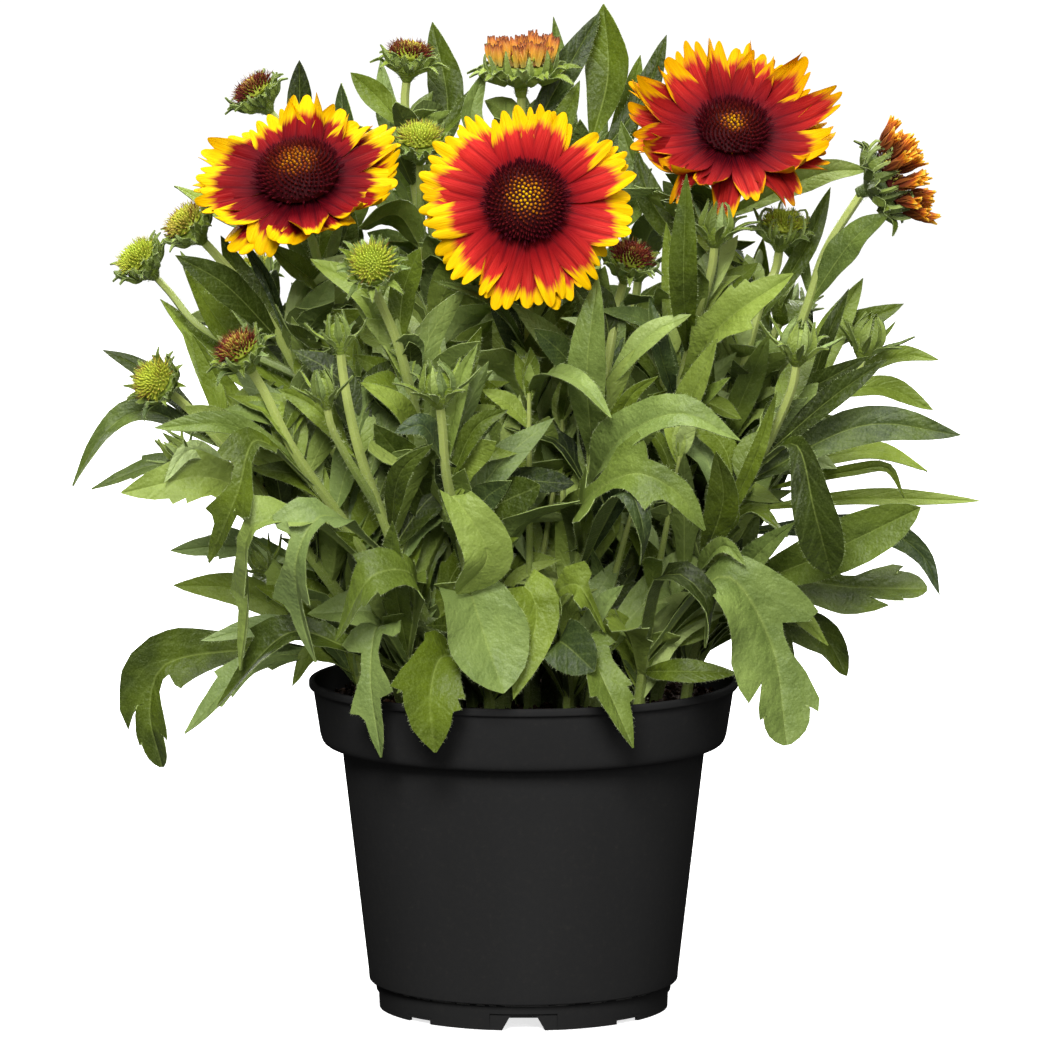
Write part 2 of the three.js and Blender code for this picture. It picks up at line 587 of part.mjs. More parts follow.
// name: the node; root: where the stem leaves the soil, x and y; way: points it passes; head: the
// head at its end; forks: side branches, each from a height on the stem; leaves: root height,
// outline, width and the points of the midrib; grown: seed, from, to, count and length of the
// leaves that grow by rule.
const STEMS = [
  {
    name: 'stem_left_bloom',
    root: [-30, -8],
    way: [[-52, 200, -6], [-78, 285, 6]],
    head: {
      kind: 'bloom', name: 'left', at: [-87.7, 327, -34], looks: [-0.12, -0.63, 0.77],
      seed: 61, petals: 22, radius: 43.5, disc: 16.5, lift: 1.5, wild: 0.1,
    },
    leaves: [
      [286, 'lance', 10, [-86, 292, -24], [-101, 304, -34]],
      [262, 'lance', 8, [-92, 270, -47], [-97, 280, -58]],
    ],
    grown: [11, 150, 262, 3, 62],
  },
  {
    name: 'stem_middle_bloom',
    root: [4, -17],
    way: [[3, 200, -20], [2, 280, -24]],
    head: {
      kind: 'bloom', name: 'middle', at: [1, 318.5, -76], looks: [0, -0.93, 0.37],
      seed: 62, petals: 24, radius: 42.8, disc: 16, lift: -1.5, wild: 0,
    },
    leaves: [
      [236, 'ribbon', 9, [10, 253, -70], [24, 248, -95], [35, 235, -101]],
      [262, 'lance', 5, [-15, 283, -60], [-35, 289, -71]],
    ],
    grown: [12, 150, 250, 2, 60],
  },
  {
    name: 'stem_right_bloom',
    root: [26, -2],
    way: [[54, 220, 5], [76, 305, 17]],
    head: {
      kind: 'bloom', name: 'right', at: [82, 346, -17], looks: [0.06, -0.7, 0.71],
      seed: 63, petals: 24, radius: 42.8, disc: 14, lift: 5, wild: 0.15,
    },
    leaves: [
      [312, 'lance', 11, [118, 332, 14], [136, 333, 14]],
      [290, 'lance', 11, [52, 318, 20], [44, 340, 28]],
    ],
    grown: [13, 150, 285, 4, 60],
  },
  {
    name: 'stem_side_bud',
    root: [44, 5],
    way: [[92, 225, 3], [113, 283, 0], [122, 306, 0]],
    head: {
      kind: 'opening', name: 'side', at: [143, 328, -4], looks: [0.93, -0.1, 0.37],
      seed: 71, spread: 14, tall: 17,
    },
    leaves: [
      [280, 'lance', 12, [131, 307, -10], [144, 316, -13]],
      [250, 'lance', 10, [124, 268, 11], [150, 280, 14]],
    ],
    grown: [14, 150, 262, 3, 62],
  },
  {
    name: 'stem_top_bud',
    root: [-4, 14],
    way: [[-4, 250, 22], [-2, 330, 21]],
    head: {
      kind: 'opening', name: 'top', at: [-1, 374, 21], looks: [0, -0.12, 1],
      seed: 72, spread: 14, tall: 12,
    },
    leaves: [
      [338, 'lance', 8, [-20, 352, 20], [-15, 372, 22]],
      [335, 'lance', 11, [10, 360, 28], [30, 395, 36]],
      [322, 'lance', 9, [12, 345, 17], [22, 368, 17]],
    ],
    grown: [15, 160, 318, 3, 60],
  },
  {
    name: 'stem_high_left_bud',
    root: [-30, 13],
    way: [[-56, 230, 28], [-84, 320, 42]],
    head: { kind: 'button', at: [-105, 363, 45], looks: [-0.55, -0.2, 0.8] },
    leaves: [
      [330, 'lance', 10, [-88, 352, 48], [-88, 376, 50]],
      [300, 'lance', 10, [-112, 314, 25], [-137, 327, 20]],
      [318, 'lance', 10, [-72, 346, 48], [-72, 367, 50]],
    ],
    grown: [16, 155, 300, 4, 60],
  },
  {
    name: 'stem_upper_buds',
    root: [-16, 6],
    way: [[-32, 240, 13], [-42, 320, 28]],
    head: { kind: 'button', at: [-45, 377, 35], looks: [0.1, -0.15, 1] },
    forks: [
      { from: 300, way: [], head: { kind: 'button', at: [-41, 344, 8], looks: [0, -0.4, 0.9] } },
    ],
    leaves: [
      [335, 'lance', 6, [-28, 352, 34], [-14, 371, 36]],
      [345, 'lance', 10, [-58, 362, 42], [-68, 371, 42]],
    ],
    grown: [17, 150, 300, 3, 58],
  },
  {
    name: 'stem_middle_left_bud',
    root: [-20, -23],
    way: [[-38, 215, -59], [-50, 265, -84]],
    head: { kind: 'button', at: [-59.5, 295, -104], looks: [-0.05, -0.8, 0.6] },
    leaves: [
      [248, 'lance', 13, [-60, 282, -74], [-84, 298, -64]],
      [222, 'lance', 10.5, [-50, 240, -89], [-64, 249, -95]],
      [188, 'lance', 17, [-44, 212, -73], [-59, 232, -88]],
    ],
    grown: [18, 145, 240, 2, 56],
  },
  {
    name: 'stem_far_left_buds',
    root: [-42, -3],
    way: [[-74, 220, -10], [-101, 274, -17]],
    head: { kind: 'button', at: [-132, 311, -20], looks: [-0.6, -0.35, 0.7] },
    forks: [
      { from: 252, way: [[-128, 271, -4]], head: { kind: 'button', at: [-151, 297, -7], looks: [-0.6, -0.35, 0.7] } },
    ],
    leaves: [
      [266, 'lance', 12, [-118, 288, -37], [-137, 299, -43]],
      [262, 'lance', 10, [-112, 292, 3], [-119, 307, 3]],
      [240, 'lance', 10, [-120, 276, 8], [-135, 301, 11]],
      [254, 'lance', 6, [-102, 290, 0], [-112, 307, -4]],
    ],
    grown: [19, 150, 240, 3, 62],
  },
  {
    name: 'stem_left_yellow_bud',
    root: [-48, -15],
    way: [[-92, 190, -25], [-126, 232, -28]],
    head: { kind: 'button', at: [-145, 249, -36], looks: [-0.5, -0.65, 0.5] },
    forks: [
      { from: 205, way: [], head: { kind: 'small', at: [-137, 222, -46], looks: [-0.6, -0.3, 0.6] } },
    ],
    leaves: [
      [232, 'lance', 8, [-150, 254, -13], [-166, 262, -10]],
      [222, 'lance', 8, [-124, 250, -4], [-135, 271, 0]],
      [226, 'lance', 10, [-150, 238, -19], [-165, 230, -22], [-179, 208, -20]],
      [214, 'lance', 7, [-132, 222, -54], [-142, 209, -59]],
      [204, 'toothed', 9, [-140, 217, -20], [-171, 207, -23]],
      [192, 'toothed', 19, [-122, 211, -50], [-159, 205, -58]],
      [176, 'toothed', 12, [-112, 184, 0], [-140, 182, 4]],
    ],
    grown: [20, 145, 190, 1, 60],
  },
  {
    name: 'stem_left_maroon_bud',
    root: [-34, -22],
    way: [[-66, 185, -53], [-91, 222, -70]],
    head: { kind: 'button', at: [-112, 261, -80], looks: [-0.45, -0.4, 0.8] },
    leaves: [
      [222, 'lance', 9, [-116, 232, -78], [-146, 231, -78]],
      [214, 'cut', 18, [-106, 226, -85], [-113, 206, -92], [-125, 177, -82]],
      [182, 'toothed', 17, [-88, 195, -86], [-108, 191, -94], [-110, 160, -77], [-113, 134, -70]],
      [200, 'lance', 11, [-92, 214, -44], [-117, 222, -42]],
    ],
    grown: [21, 140, 190, 2, 58],
  },
  {
    name: 'stem_front_green_bud',
    root: [-10, -36],
    way: [[-26, 190, -74], [-31, 215, -89]],
    head: { kind: 'bud', at: [-34, 248, -101], looks: [-0.1, -0.3, 1] },
    leaves: [
      [196, 'ribbon', 15, [-28, 204, -101], [-14, 180, -102], [-26, 164, -92]],
      [228, 'lance', 9, [-40, 232, -106], [-51, 229, -108]],
      [218, 'lance', 8, [-18, 232, -90], [-6, 238, -89]],
      [224, 'lance', 7, [-24, 252, -98], [-18, 264, -101]],
    ],
    grown: [22, 145, 190, 1, 50],
  },
  {
    name: 'stem_behind_middle_bud',
    root: [15, -31],
    way: [[27, 215, -48], [34, 262, -50]],
    head: { kind: 'button', at: [42, 297, -50], looks: [0.25, -0.4, 0.9] },
    leaves: [
      [222, 'lance', 14, [25, 256, -77], [29, 291, -77]],
      [196, 'lance', 17, [37, 226, -95], [62, 237, -110], [86, 226, -110]],
      [186, 'cut', 22, [24, 202, -89], [45, 213, -112], [60, 206, -115], [72, 190, -113]],
      [178, 'lance', 11, [42, 206, -113], [48, 190, -119], [47, 176, -108]],
      [210, 'lance', 7, [43, 244, -74], [53, 251, -79]],
      [250, 'lance', 9, [50, 268, -58], [66, 276, -58]],
    ],
    grown: [23, 145, 205, 1, 52],
  },
  {
    name: 'stem_middle_right_bud',
    root: [29, -19],
    way: [[56, 225, -28], [68, 272, -34]],
    head: { kind: 'bud', at: [76, 312, -41], looks: [0.1, -0.2, 1] },
    leaves: [
      [262, 'lance', 10.5, [63, 290, -71], [64, 331, -80]],
      [250, 'toothed', 18, [78, 272, -58], [106, 292, -67]],
      [228, 'lance', 10.5, [64, 240, -54], [76, 266, -67]],
      [236, 'lance', 7, [72, 244, -55], [81, 251, -62]],
      [244, 'lance', 8, [54, 262, -50], [50, 282, -50]],
    ],
    grown: [24, 145, 226, 2, 56],
  },
  {
    name: 'stem_right_curled_bud',
    root: [37, -10],
    way: [[78, 225, -10], [95, 285, -10]],
    head: { kind: 'button', at: [102, 310, -13], looks: [0.15, -0.3, 1] },
    leaves: [
      [272, 'lance', 8, [110, 300, -7], [121, 326, -4]],
      [232, 'lance', 9, [112, 246, -23], [136, 259, -30]],
      [218, 'lance', 10, [88, 246, -23], [97, 268, -26]],
    ],
    grown: [25, 150, 235, 3, 58],
  },
  {
    name: 'stem_right_green_bud',
    root: [42, -24],
    way: [[78, 190, -49], [98, 228, -65]],
    head: { kind: 'bud', at: [109, 265, -77], looks: [0.15, -0.2, 1] },
    leaves: [
      [222, 'spoon', 17, [108, 224, -85], [115, 198, -94], [122, 172, -81]],
      [216, 'lance', 14.5, [135, 232, -53], [173, 228, -55]],
      [224, 'lance', 9, [122, 243, -65], [143, 258, -67]],
      [182, 'lance', 12, [79, 203, -68], [76, 221, -76]],
      [186, 'lance', 6, [92, 220, -70], [100, 245, -78]],
      [170, 'lance', 8, [80, 184, -74], [88, 176, -77]],
    ],
    grown: [26, 145, 190, 2, 56],
  },
  {
    name: 'stem_far_right_bud',
    root: [52, -5],
    way: [[98, 210, -2], [124, 250, 0]],
    head: { kind: 'bud', at: [136, 267, 0], looks: [0.3, -0.2, 1] },
    leaves: [
      [250, 'lance', 7, [138, 256, 8], [150, 260, 11], [164, 258, 11]],
      [242, 'lance', 9, [142, 247, 8], [162, 238, 8]],
      [232, 'lance', 7, [118, 262, -17], [128, 286, -17]],
      [214, 'lance', 8, [140, 222, 5], [160, 214, 5]],
      [198, 'lance', 7, [132, 203, -6], [181, 202, -8]],
      [206, 'lance', 5, [130, 214, -24], [144, 215, -26], [151, 203, -25]],
      [188, 'lance', 10, [142, 190, 7], [158, 180, 7], [165, 164, 4]],
    ],
    grown: [27, 150, 205, 2, 60],
  },
  {
    name: 'stem_small_left_buds',
    root: [-26, -33],
    way: [[-52, 185, -69], [-66, 225, -85]],
    head: { kind: 'small', at: [-73, 268, -88], looks: [-0.1, -0.2, 1] },
    forks: [
      { from: 205, way: [], head: { kind: 'small', at: [-79, 246, -103], looks: [-0.2, -0.3, 1] } },
    ],
    leaves: [
      [184, 'cut', 22, [-80, 196, -92], [-90, 180, -94], [-89, 158, -81], [-83, 137, -76]],
      [226, 'lance', 9, [-84, 240, -77], [-97, 246, -74]],
      [196, 'lance', 8, [-48, 214, -97], [-36, 224, -101]],
    ],
    grown: [28, 140, 180, 1, 50],
  },
  {
    name: 'stem_low_left_bud',
    root: [-55, 3],
    way: [[-84, 154, 0]],
    head: { kind: 'small', at: [-104, 178, -10], looks: [-0.5, -0.3, 0.8] },
    leaves: [
      [140, 'toothed', 15, [-118, 146, -2], [-147, 141, -6], [-153, 124, -6], [-149, 103, -6]],
      [145, 'lance', 12, [-112, 166, 11], [-139, 168, 15]],
    ],
    grown: [29, 132, 160, 3, 58],
  },
  {
    name: 'shoot_upper_right',
    root: [13, 15],
    way: [[20, 240, 29], [27, 345, 36]],
    leaves: [
      [342, 'lance', 17, [33, 370, 38], [31, 398, 39]],
      [330, 'lance', 9, [46, 360, 42], [56, 386, 45]],
      [320, 'lance', 10, [38, 345, 50], [46, 378, 53]],
      [312, 'lance', 9, [18, 345, 48], [12, 393, 50]],
      [300, 'lance', 11, [44, 320, 25], [38, 352, 28]],
    ],
    grown: [30, 160, 300, 3, 60],
  },
  {
    name: 'shoot_upper_left',
    root: [-14, 24],
    way: [[-30, 240, 40], [-38, 335, 48]],
    leaves: [
      [330, 'lance', 13, [-30, 355, 53], [-36, 391, 59]],
      [322, 'lance', 9, [-52, 350, 56], [-56, 376, 62]],
      [300, 'lance', 10, [-58, 325, 50], [-68, 352, 56]],
    ],
    grown: [31, 160, 310, 4, 60],
  },
  {
    name: 'stem_back_left_bud',
    root: [-44, 24],
    way: [[-80, 220, 58]],
    head: { kind: 'button', at: [-106, 292, 98], looks: [-0.4, 0.5, 0.9] },
    leaves: [],
    grown: [32, 145, 265, 6, 68],
  },
  {
    name: 'stem_back_middle_bud',
    root: [-16, 38],
    way: [[-32, 230, 72]],
    head: { kind: 'button', at: [-42, 322, 104], looks: [-0.1, 0.5, 0.9] },
    leaves: [],
    grown: [33, 145, 300, 6, 68],
  },
  {
    name: 'stem_back_right_bud',
    root: [16, 38],
    way: [[34, 220, 70]],
    head: { kind: 'bud', at: [46, 300, 97], looks: [0.1, 0.5, 0.9] },
    leaves: [],
    grown: [34, 145, 280, 6, 68],
  },
  {
    name: 'stem_back_far_right_bud',
    root: [44, 24],
    way: [[80, 215, 57]],
    head: { kind: 'bud', at: [104, 280, 92], looks: [0.4, 0.4, 0.9] },
    leaves: [],
    grown: [35, 145, 258, 6, 68],
  },
  {
    name: 'basal_leaves_front_left',
    root: [-42, -44],
    way: [[-46, 152, -53]],
    leaves: [
      [144, 'toothed', 17, [-44, 173, -80], [-60, 172, -91], [-75, 146, -82]],
      [142, 'cut', 17, [-58, 152, -72], [-61, 132, -76], [-57, 99, -78]],
      [138, 'lance', 12, [-70, 146, -66], [-92, 153, -68], [-122, 124, -62]],
      [140, 'lance', 10, [-52, 176, -77], [-52, 193, -91]],
    ],
    grown: [41, 136, 146, 1, 52],
  },
  {
    name: 'basal_leaves_front',
    root: [-13, -56],
    way: [[-15, 146, -60]],
    leaves: [
      [142, 'spoon', 21, [-24, 166, -84], [-20, 150, -84], [-13, 126, -90]],
      [136, 'toothed', 27, [-32, 140, -80], [-37, 124, -91], [-35, 101, -92]],
      [140, 'spoon', 23, [-2, 168, -84], [2, 158, -87], [-8, 122, -94]],
    ],
    grown: [42, 136, 142, 1, 50],
  },
  {
    name: 'basal_leaves_front_right',
    root: [17, -52],
    way: [[18, 146, -56]],
    leaves: [
      [140, 'toothed', 17, [24, 145, -80], [34, 126, -91], [44, 103, -92]],
      [138, 'spoon', 18, [14, 146, -74], [28, 134, -80]],
      [142, 'cut', 15, [12, 164, -74], [22, 168, -86], [33, 149, -82]],
      [141, 'lance', 9, [30, 158, -69], [39, 168, -78]],
    ],
    grown: [43, 136, 142, 1, 50],
  },
  {
    name: 'basal_leaves_right_front',
    root: [44, -42],
    way: [[50, 154, -52]],
    leaves: [
      [140, 'lance', 9, [60, 134, -66], [85, 133, -66]],
      [150, 'ribbon', 11, [58, 174, -81], [72, 164, -86], [73, 143, -80]],
      [146, 'cut', 30, [80, 172, -74], [98, 146, -72], [105, 104, -76]],
      [144, 'toothed', 24, [84, 166, -66], [106, 146, -64], [118, 120, -66]],
      [148, 'toothed', 11, [78, 160, -55], [106, 158, -58], [121, 144, -56]],
    ],
    grown: [44, 138, 148, 1, 52],
  },
  {
    name: 'basal_leaves_right',
    root: [63, -14],
    way: [[72, 156, -16]],
    leaves: [
      [146, 'spoon', 20, [92, 168, -39], [118, 180, -54], [157, 199, -65]],
      [144, 'toothed', 16, [100, 168, -31], [132, 166, -37], [160, 165, -39]],
      [150, 'lance', 10.5, [92, 180, -56], [107, 193, -70]],
      [142, 'lance', 10, [106, 152, 2], [138, 146, 6], [152, 130, 8]],
    ],
    grown: [45, 138, 150, 2, 58],
  },
  {
    name: 'basal_leaves_left',
    root: [-62, -22],
    way: [[-70, 150, -26]],
    leaves: [
      [142, 'lance', 10, [-106, 140, -42], [-138, 111, -44]],
      [140, 'lance', 8, [-96, 152, -26], [-128, 146, -26]],
      [136, 'lance', 7, [-84, 141, -38], [-92, 128, -42]],
    ],
    grown: [46, 136, 146, 3, 56],
  },
  {
    name: 'basal_leaves_back_left',
    root: [-48, 42],
    way: [[-58, 152, 52]],
    leaves: [],
    grown: [47, 136, 148, 5, 66],
  },
  {
    name: 'basal_leaves_back',
    root: [0, 60],
    way: [[0, 152, 68]],
    leaves: [],
    grown: [48, 136, 148, 5, 58],
  },
  {
    name: 'basal_leaves_back_right',
    root: [48, 42],
    way: [[60, 152, 52]],
    leaves: [],
    grown: [49, 136, 148, 5, 66],
  },
];

function headsOf(stem) {
  const forks = (stem.forks ?? []).map((fork) => fork.head);
  return (stem.head ? [stem.head] : []).concat(forks);
}

function neckPoints(head) {
  const { axis, centre } = headFrame(head);
  const depth = HEADS[head.kind].depth;
  return [
    centre.clone().addScaledVector(axis, -depth - 9),
    centre.clone().addScaledVector(axis, -depth + 1.6),
  ];
}

function stemCurve(stem) {
  const [x, y] = stem.root;
  const foot = vector(x, y, SOIL_TOP - HOLE_DEPTH);
  const collar = vector(x * 1.02, y * 1.02, SOIL_TOP + 5);
  const ends = stem.head ? neckPoints(stem.head) : [];
  return curveOf([foot, collar].concat(stem.way.map(place), ends));
}

function stemPieces(stem, curve) {
  const pieces = [tube(curve, STEM_FOOT_RADIUS, STEM_NECK_RADIUS, STEM_SIDES)];
  (stem.forks ?? []).forEach((fork) => {
    const start = pointAtHeight(curve, fork.from);
    const branch = curveOf([start].concat(fork.way.map(place), neckPoints(fork.head)));
    pieces.push(tube(branch, STEM_NECK_RADIUS * 1.05, STEM_NECK_RADIUS * 0.8, STEM_SIDES));
  });
  headsOf(stem).forEach((head) => pieces.push(calyx(head)));
  return pieces;
}

// The hole that a stem stands in: as its foot, a little wider.
function holePiece(curve) {
  const foot = curve.getPointAt(0);
  const spans = Math.max(2, Math.round(curve.getLength() / STEM_STEP));
  const above = curve.getPointAt(1 / spans);
  const down = foot.clone().sub(above).normalize();
  const straight = new THREE.LineCurve3(foot.addScaledVector(down, HOLE_BELOW), above);
  const wide = STEM_FOOT_RADIUS + HOLE_GAP;
  const rows = [0, 1].map((along) => {
    const centre = straight.getPoint(along);
    const side = vector(1, 0, 0).addScaledVector(down, -down.x).normalize();
    const other = down.clone().negate().cross(side);
    return Array.from({ length: STEM_SIDES }, (_, k) => {
      const turn = (k * 2 * Math.PI) / STEM_SIDES;
      return centre.clone()
        .addScaledVector(side, wide * Math.cos(turn))
        .addScaledVector(other, wide * Math.sin(turn));
    });
  });
  return loft(rows);
}

/* ------------------------------------------------------------------ putting it together */

const pot = makePot();
settle('pot', [pot]);

const curves = STEMS.map(stemCurve);
const soil = curves.reduce((sum, curve) => sum.subtract(holePiece(curve)), makeSoil());
settle('soil', [soil]);

const green = STEMS.map((stem, i) => stemPieces(stem, curves[i]));
STEMS.forEach((stem, i) => settle(stem.name, green[i]));

const coloured = [];

function addColoured(name, pieces, colour) {
  settle(name, pieces);
  coloured.push({ name, pieces, colour });
}

const heads = STEMS.flatMap(headsOf);
const headsOfKind = (kind) => heads.filter((head) => head.kind === kind);

headsOfKind('bloom').forEach((head) => {
  addColoured(`petals_${head.name}`, petalRing(head), COLOURS.red);
  addColoured(`disc_${head.name}`, bloomDisc(head), COLOURS.disc);
});
headsOfKind('opening').forEach((head) => {
  addColoured(`rays_${head.name}`, openingRays(head), COLOURS.orange);
});
headsOfKind('button').forEach((head, i) => {
  addColoured(`button_${i + 1}`, buttonDisc(head), COLOURS.button);
});

function addLeaf(owner, pieces, leaf) {
  if (!leaf) return;
  settle(owner, [leaf]);
  pieces.push(leaf);
}

STEMS.forEach((stem, i) => {
  stem.leaves.forEach((leaf) => addLeaf(stem.name, green[i], handLeaf(stem.name, curves[i], leaf)));
});
STEMS.forEach((stem, i) => {
  grownLeaves(...stem.grown, curves[i]).forEach((grown) => {
    addLeaf(stem.name, green[i], ruleLeaf(stem.name, curves[i], grown));
  });
});

addNode('pot', pot, COLOURS.plastic, 0.55);
addNode('soil', soil, COLOURS.peat, 0.95);
STEMS.forEach((stem, i) => addNode(stem.name, joined(green[i]), COLOURS.leaf, 0.7));
coloured.forEach(({ name, pieces, colour }) => addNode(name, joined(pieces), colour, 0.6));

export default group;
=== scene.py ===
import math

import bmesh
import bpy
import numpy as np
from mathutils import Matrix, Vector
from mathutils.bvhtree import BVHTree


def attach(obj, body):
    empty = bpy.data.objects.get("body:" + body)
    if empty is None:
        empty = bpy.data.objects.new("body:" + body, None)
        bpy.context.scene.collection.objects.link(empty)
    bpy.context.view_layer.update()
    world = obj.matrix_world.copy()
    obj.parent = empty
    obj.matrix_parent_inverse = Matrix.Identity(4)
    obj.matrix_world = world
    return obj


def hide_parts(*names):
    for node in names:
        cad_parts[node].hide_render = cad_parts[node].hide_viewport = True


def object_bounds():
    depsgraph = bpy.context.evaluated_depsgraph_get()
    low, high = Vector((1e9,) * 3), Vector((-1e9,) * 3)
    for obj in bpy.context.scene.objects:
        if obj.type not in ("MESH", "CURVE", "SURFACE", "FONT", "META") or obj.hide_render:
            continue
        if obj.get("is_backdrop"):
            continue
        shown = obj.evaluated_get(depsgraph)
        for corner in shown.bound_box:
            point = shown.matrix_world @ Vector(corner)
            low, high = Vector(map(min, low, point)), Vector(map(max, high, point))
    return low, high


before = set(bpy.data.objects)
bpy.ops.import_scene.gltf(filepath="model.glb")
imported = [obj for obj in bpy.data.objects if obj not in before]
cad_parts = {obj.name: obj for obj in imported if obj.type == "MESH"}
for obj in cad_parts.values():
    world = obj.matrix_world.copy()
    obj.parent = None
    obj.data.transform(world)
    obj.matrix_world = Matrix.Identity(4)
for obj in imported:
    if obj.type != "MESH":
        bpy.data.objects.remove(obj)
cad_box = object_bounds()
scene = bpy.context.scene

# Lengths are in millimetres, apart from those that are handed to Blender.
MM = 0.001
ORIGIN = (0, 0, 0)
UP = np.array([0.0, 0.0, 1.0])
FULL_TURN = 2 * math.pi
GOLDEN_ANGLE = 2.39996

# ------------------------------------------------------------------ camera, light and floor

EYE_AWAY = 2760.0
EYE_UP = 530.0
LAMPS_AIM = (0, 0, 0.2)
WHITE = (1, 1, 1, 1)
# Each lamp: its place, its size and its power.
LAMPS = {
    "lamp_front_left": ((-0.4, -2.65, 2.1), (1.0, 1.2), 118),
    "lamp_front_right": ((0.8, -2.7, 1.1), (1.1, 1.1), 22),
    "lamp_top": ((0.0, 0.1, 2.6), (1.3, 1.6), 78),
    "lamp_back_left": ((-1.5, 2.5, 1.6), (1.4, 1.2), 62),
    "lamp_back_right": ((1.5, 2.5, 1.6), (1.4, 1.2), 62),
}


def colour(red, green, blue):
    """A screen colour, 0 to 255, as the numbers that a shader takes."""
    def linear(c):
        c /= 255
        return c / 12.92 if c <= 0.04045 else ((c + 0.055) / 1.055) ** 2.4
    return (linear(red), linear(green), linear(blue), 1)


def set_camera():
    lens = bpy.data.cameras.new("camera")
    lens.lens = 240.9
    lens.sensor_width = 36
    lens.clip_end = 100
    camera = bpy.data.objects.new("camera", lens)
    camera.location = (0.0006, -EYE_AWAY * MM, EYE_UP * MM)
    camera.rotation_euler = (math.radians(90 - 6.98), 0, 0)
    scene.collection.objects.link(camera)
    scene.camera = camera


def add_lamp(name, place, size, power):
    lamp = bpy.data.lights.new(name, "AREA")
    lamp.shape = "RECTANGLE"
    lamp.size, lamp.size_y = size
    lamp.energy = power
    holder = bpy.data.objects.new(name, lamp)
    holder.location = place
    holder.rotation_euler = (Vector(LAMPS_AIM) - Vector(place)).to_track_quat("-Z", "Y").to_euler()
    scene.collection.objects.link(holder)


def preset(node, values):
    for key, value in values.items():
        node.inputs[key].default_value = value
    return node


def show_by_ray(tree, seen, other, output):
    """Gives one shader to the camera, and another to the light that bounces."""
    path = tree.nodes.new("ShaderNodeLightPath")
    either = tree.nodes.new("ShaderNodeMixShader")
    tree.links.new(path.outputs["Is Camera Ray"], either.inputs[0])
    tree.links.new(other.outputs[0], either.inputs[1])
    tree.links.new(seen.outputs[0], either.inputs[2])
    tree.links.new(either.outputs[0], tree.nodes[output].inputs[0])


def set_light():
    """Soft lamps round the pot, in a room that looks white and gives a low, even light."""
    world = bpy.data.worlds.new("studio")
    world.use_nodes = True
    tree = world.node_tree
    room = preset(tree.nodes["Background"], {"Color": WHITE, "Strength": 0.045})
    seen = preset(tree.nodes.new("ShaderNodeBackground"), {"Color": WHITE, "Strength": 1.1})
    show_by_ray(tree, seen, room, "World Output")
    scene.world = world
    for name, lamp in LAMPS.items():
        add_lamp(name, *lamp)
    scene.view_settings.view_transform = "Standard"


def set_floor():
    bpy.ops.object.select_all(action="DESELECT")
    bpy.ops.mesh.primitive_circle_add(vertices=96, radius=3, fill_type="NGON", location=(0, 0, -0.0002))
    floor = bpy.context.active_object
    floor.name = "floor"
    plain = bpy.data.materials.new("floor_white")
    plain.use_nodes = True
    tree = plain.node_tree
    shader = preset(tree.nodes["Principled BSDF"], {
        "Base Color": (0.95, 0.95, 0.95, 1), "Roughness": 0.9, "Emission Color": WHITE,
        "Emission Strength": 0.75, "Specular IOR Level": 0.1})
    dull = preset(tree.nodes.new("ShaderNodeBsdfDiffuse"), {"Color": (0.12, 0.12, 0.12, 1)})
    show_by_ray(tree, shader, dull, "Material Output")
    floor.data.materials.append(plain)
    floor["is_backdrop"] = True


set_camera()
set_light()
set_floor()

# ------------------------------------------------------------------ lines, draws and places


def dice(seed):
    """A seeded draw, the same one that set the leaves of the solid model."""
    state = seed & 0xFFFFFFFF

    def imul(a, b):
        return (a * b) & 0xFFFFFFFF

    def draw():
        nonlocal state
        state = (state + 0x6D2B79F5) & 0xFFFFFFFF
        mix = imul(state ^ (state >> 15), state | 1)
        mix = (mix + imul(mix ^ (mix >> 7), mix | 61)) & 0xFFFFFFFF ^ mix
        return ((mix ^ (mix >> 14)) & 0xFFFFFFFF) / 4294967296
    return draw


def place(spot):
    """Where a spot lies that is read as [across, up, depth] by an eye in front of the pot."""
    across, up, depth = spot
    spread = 1 + depth / EYE_AWAY
    return np.array([across * spread, depth, EYE_UP - spread * (EYE_UP - up)])


def unit(v):
    return v / np.maximum(np.linalg.norm(v, axis=-1, keepdims=True), 1e-9)


def polar(radius, turn, height):
    """Spots at a radius, at a turn round +Z and at a height."""
    return np.stack(np.broadcast_arrays(radius * np.cos(turn), radius * np.sin(turn), height), axis=-1)


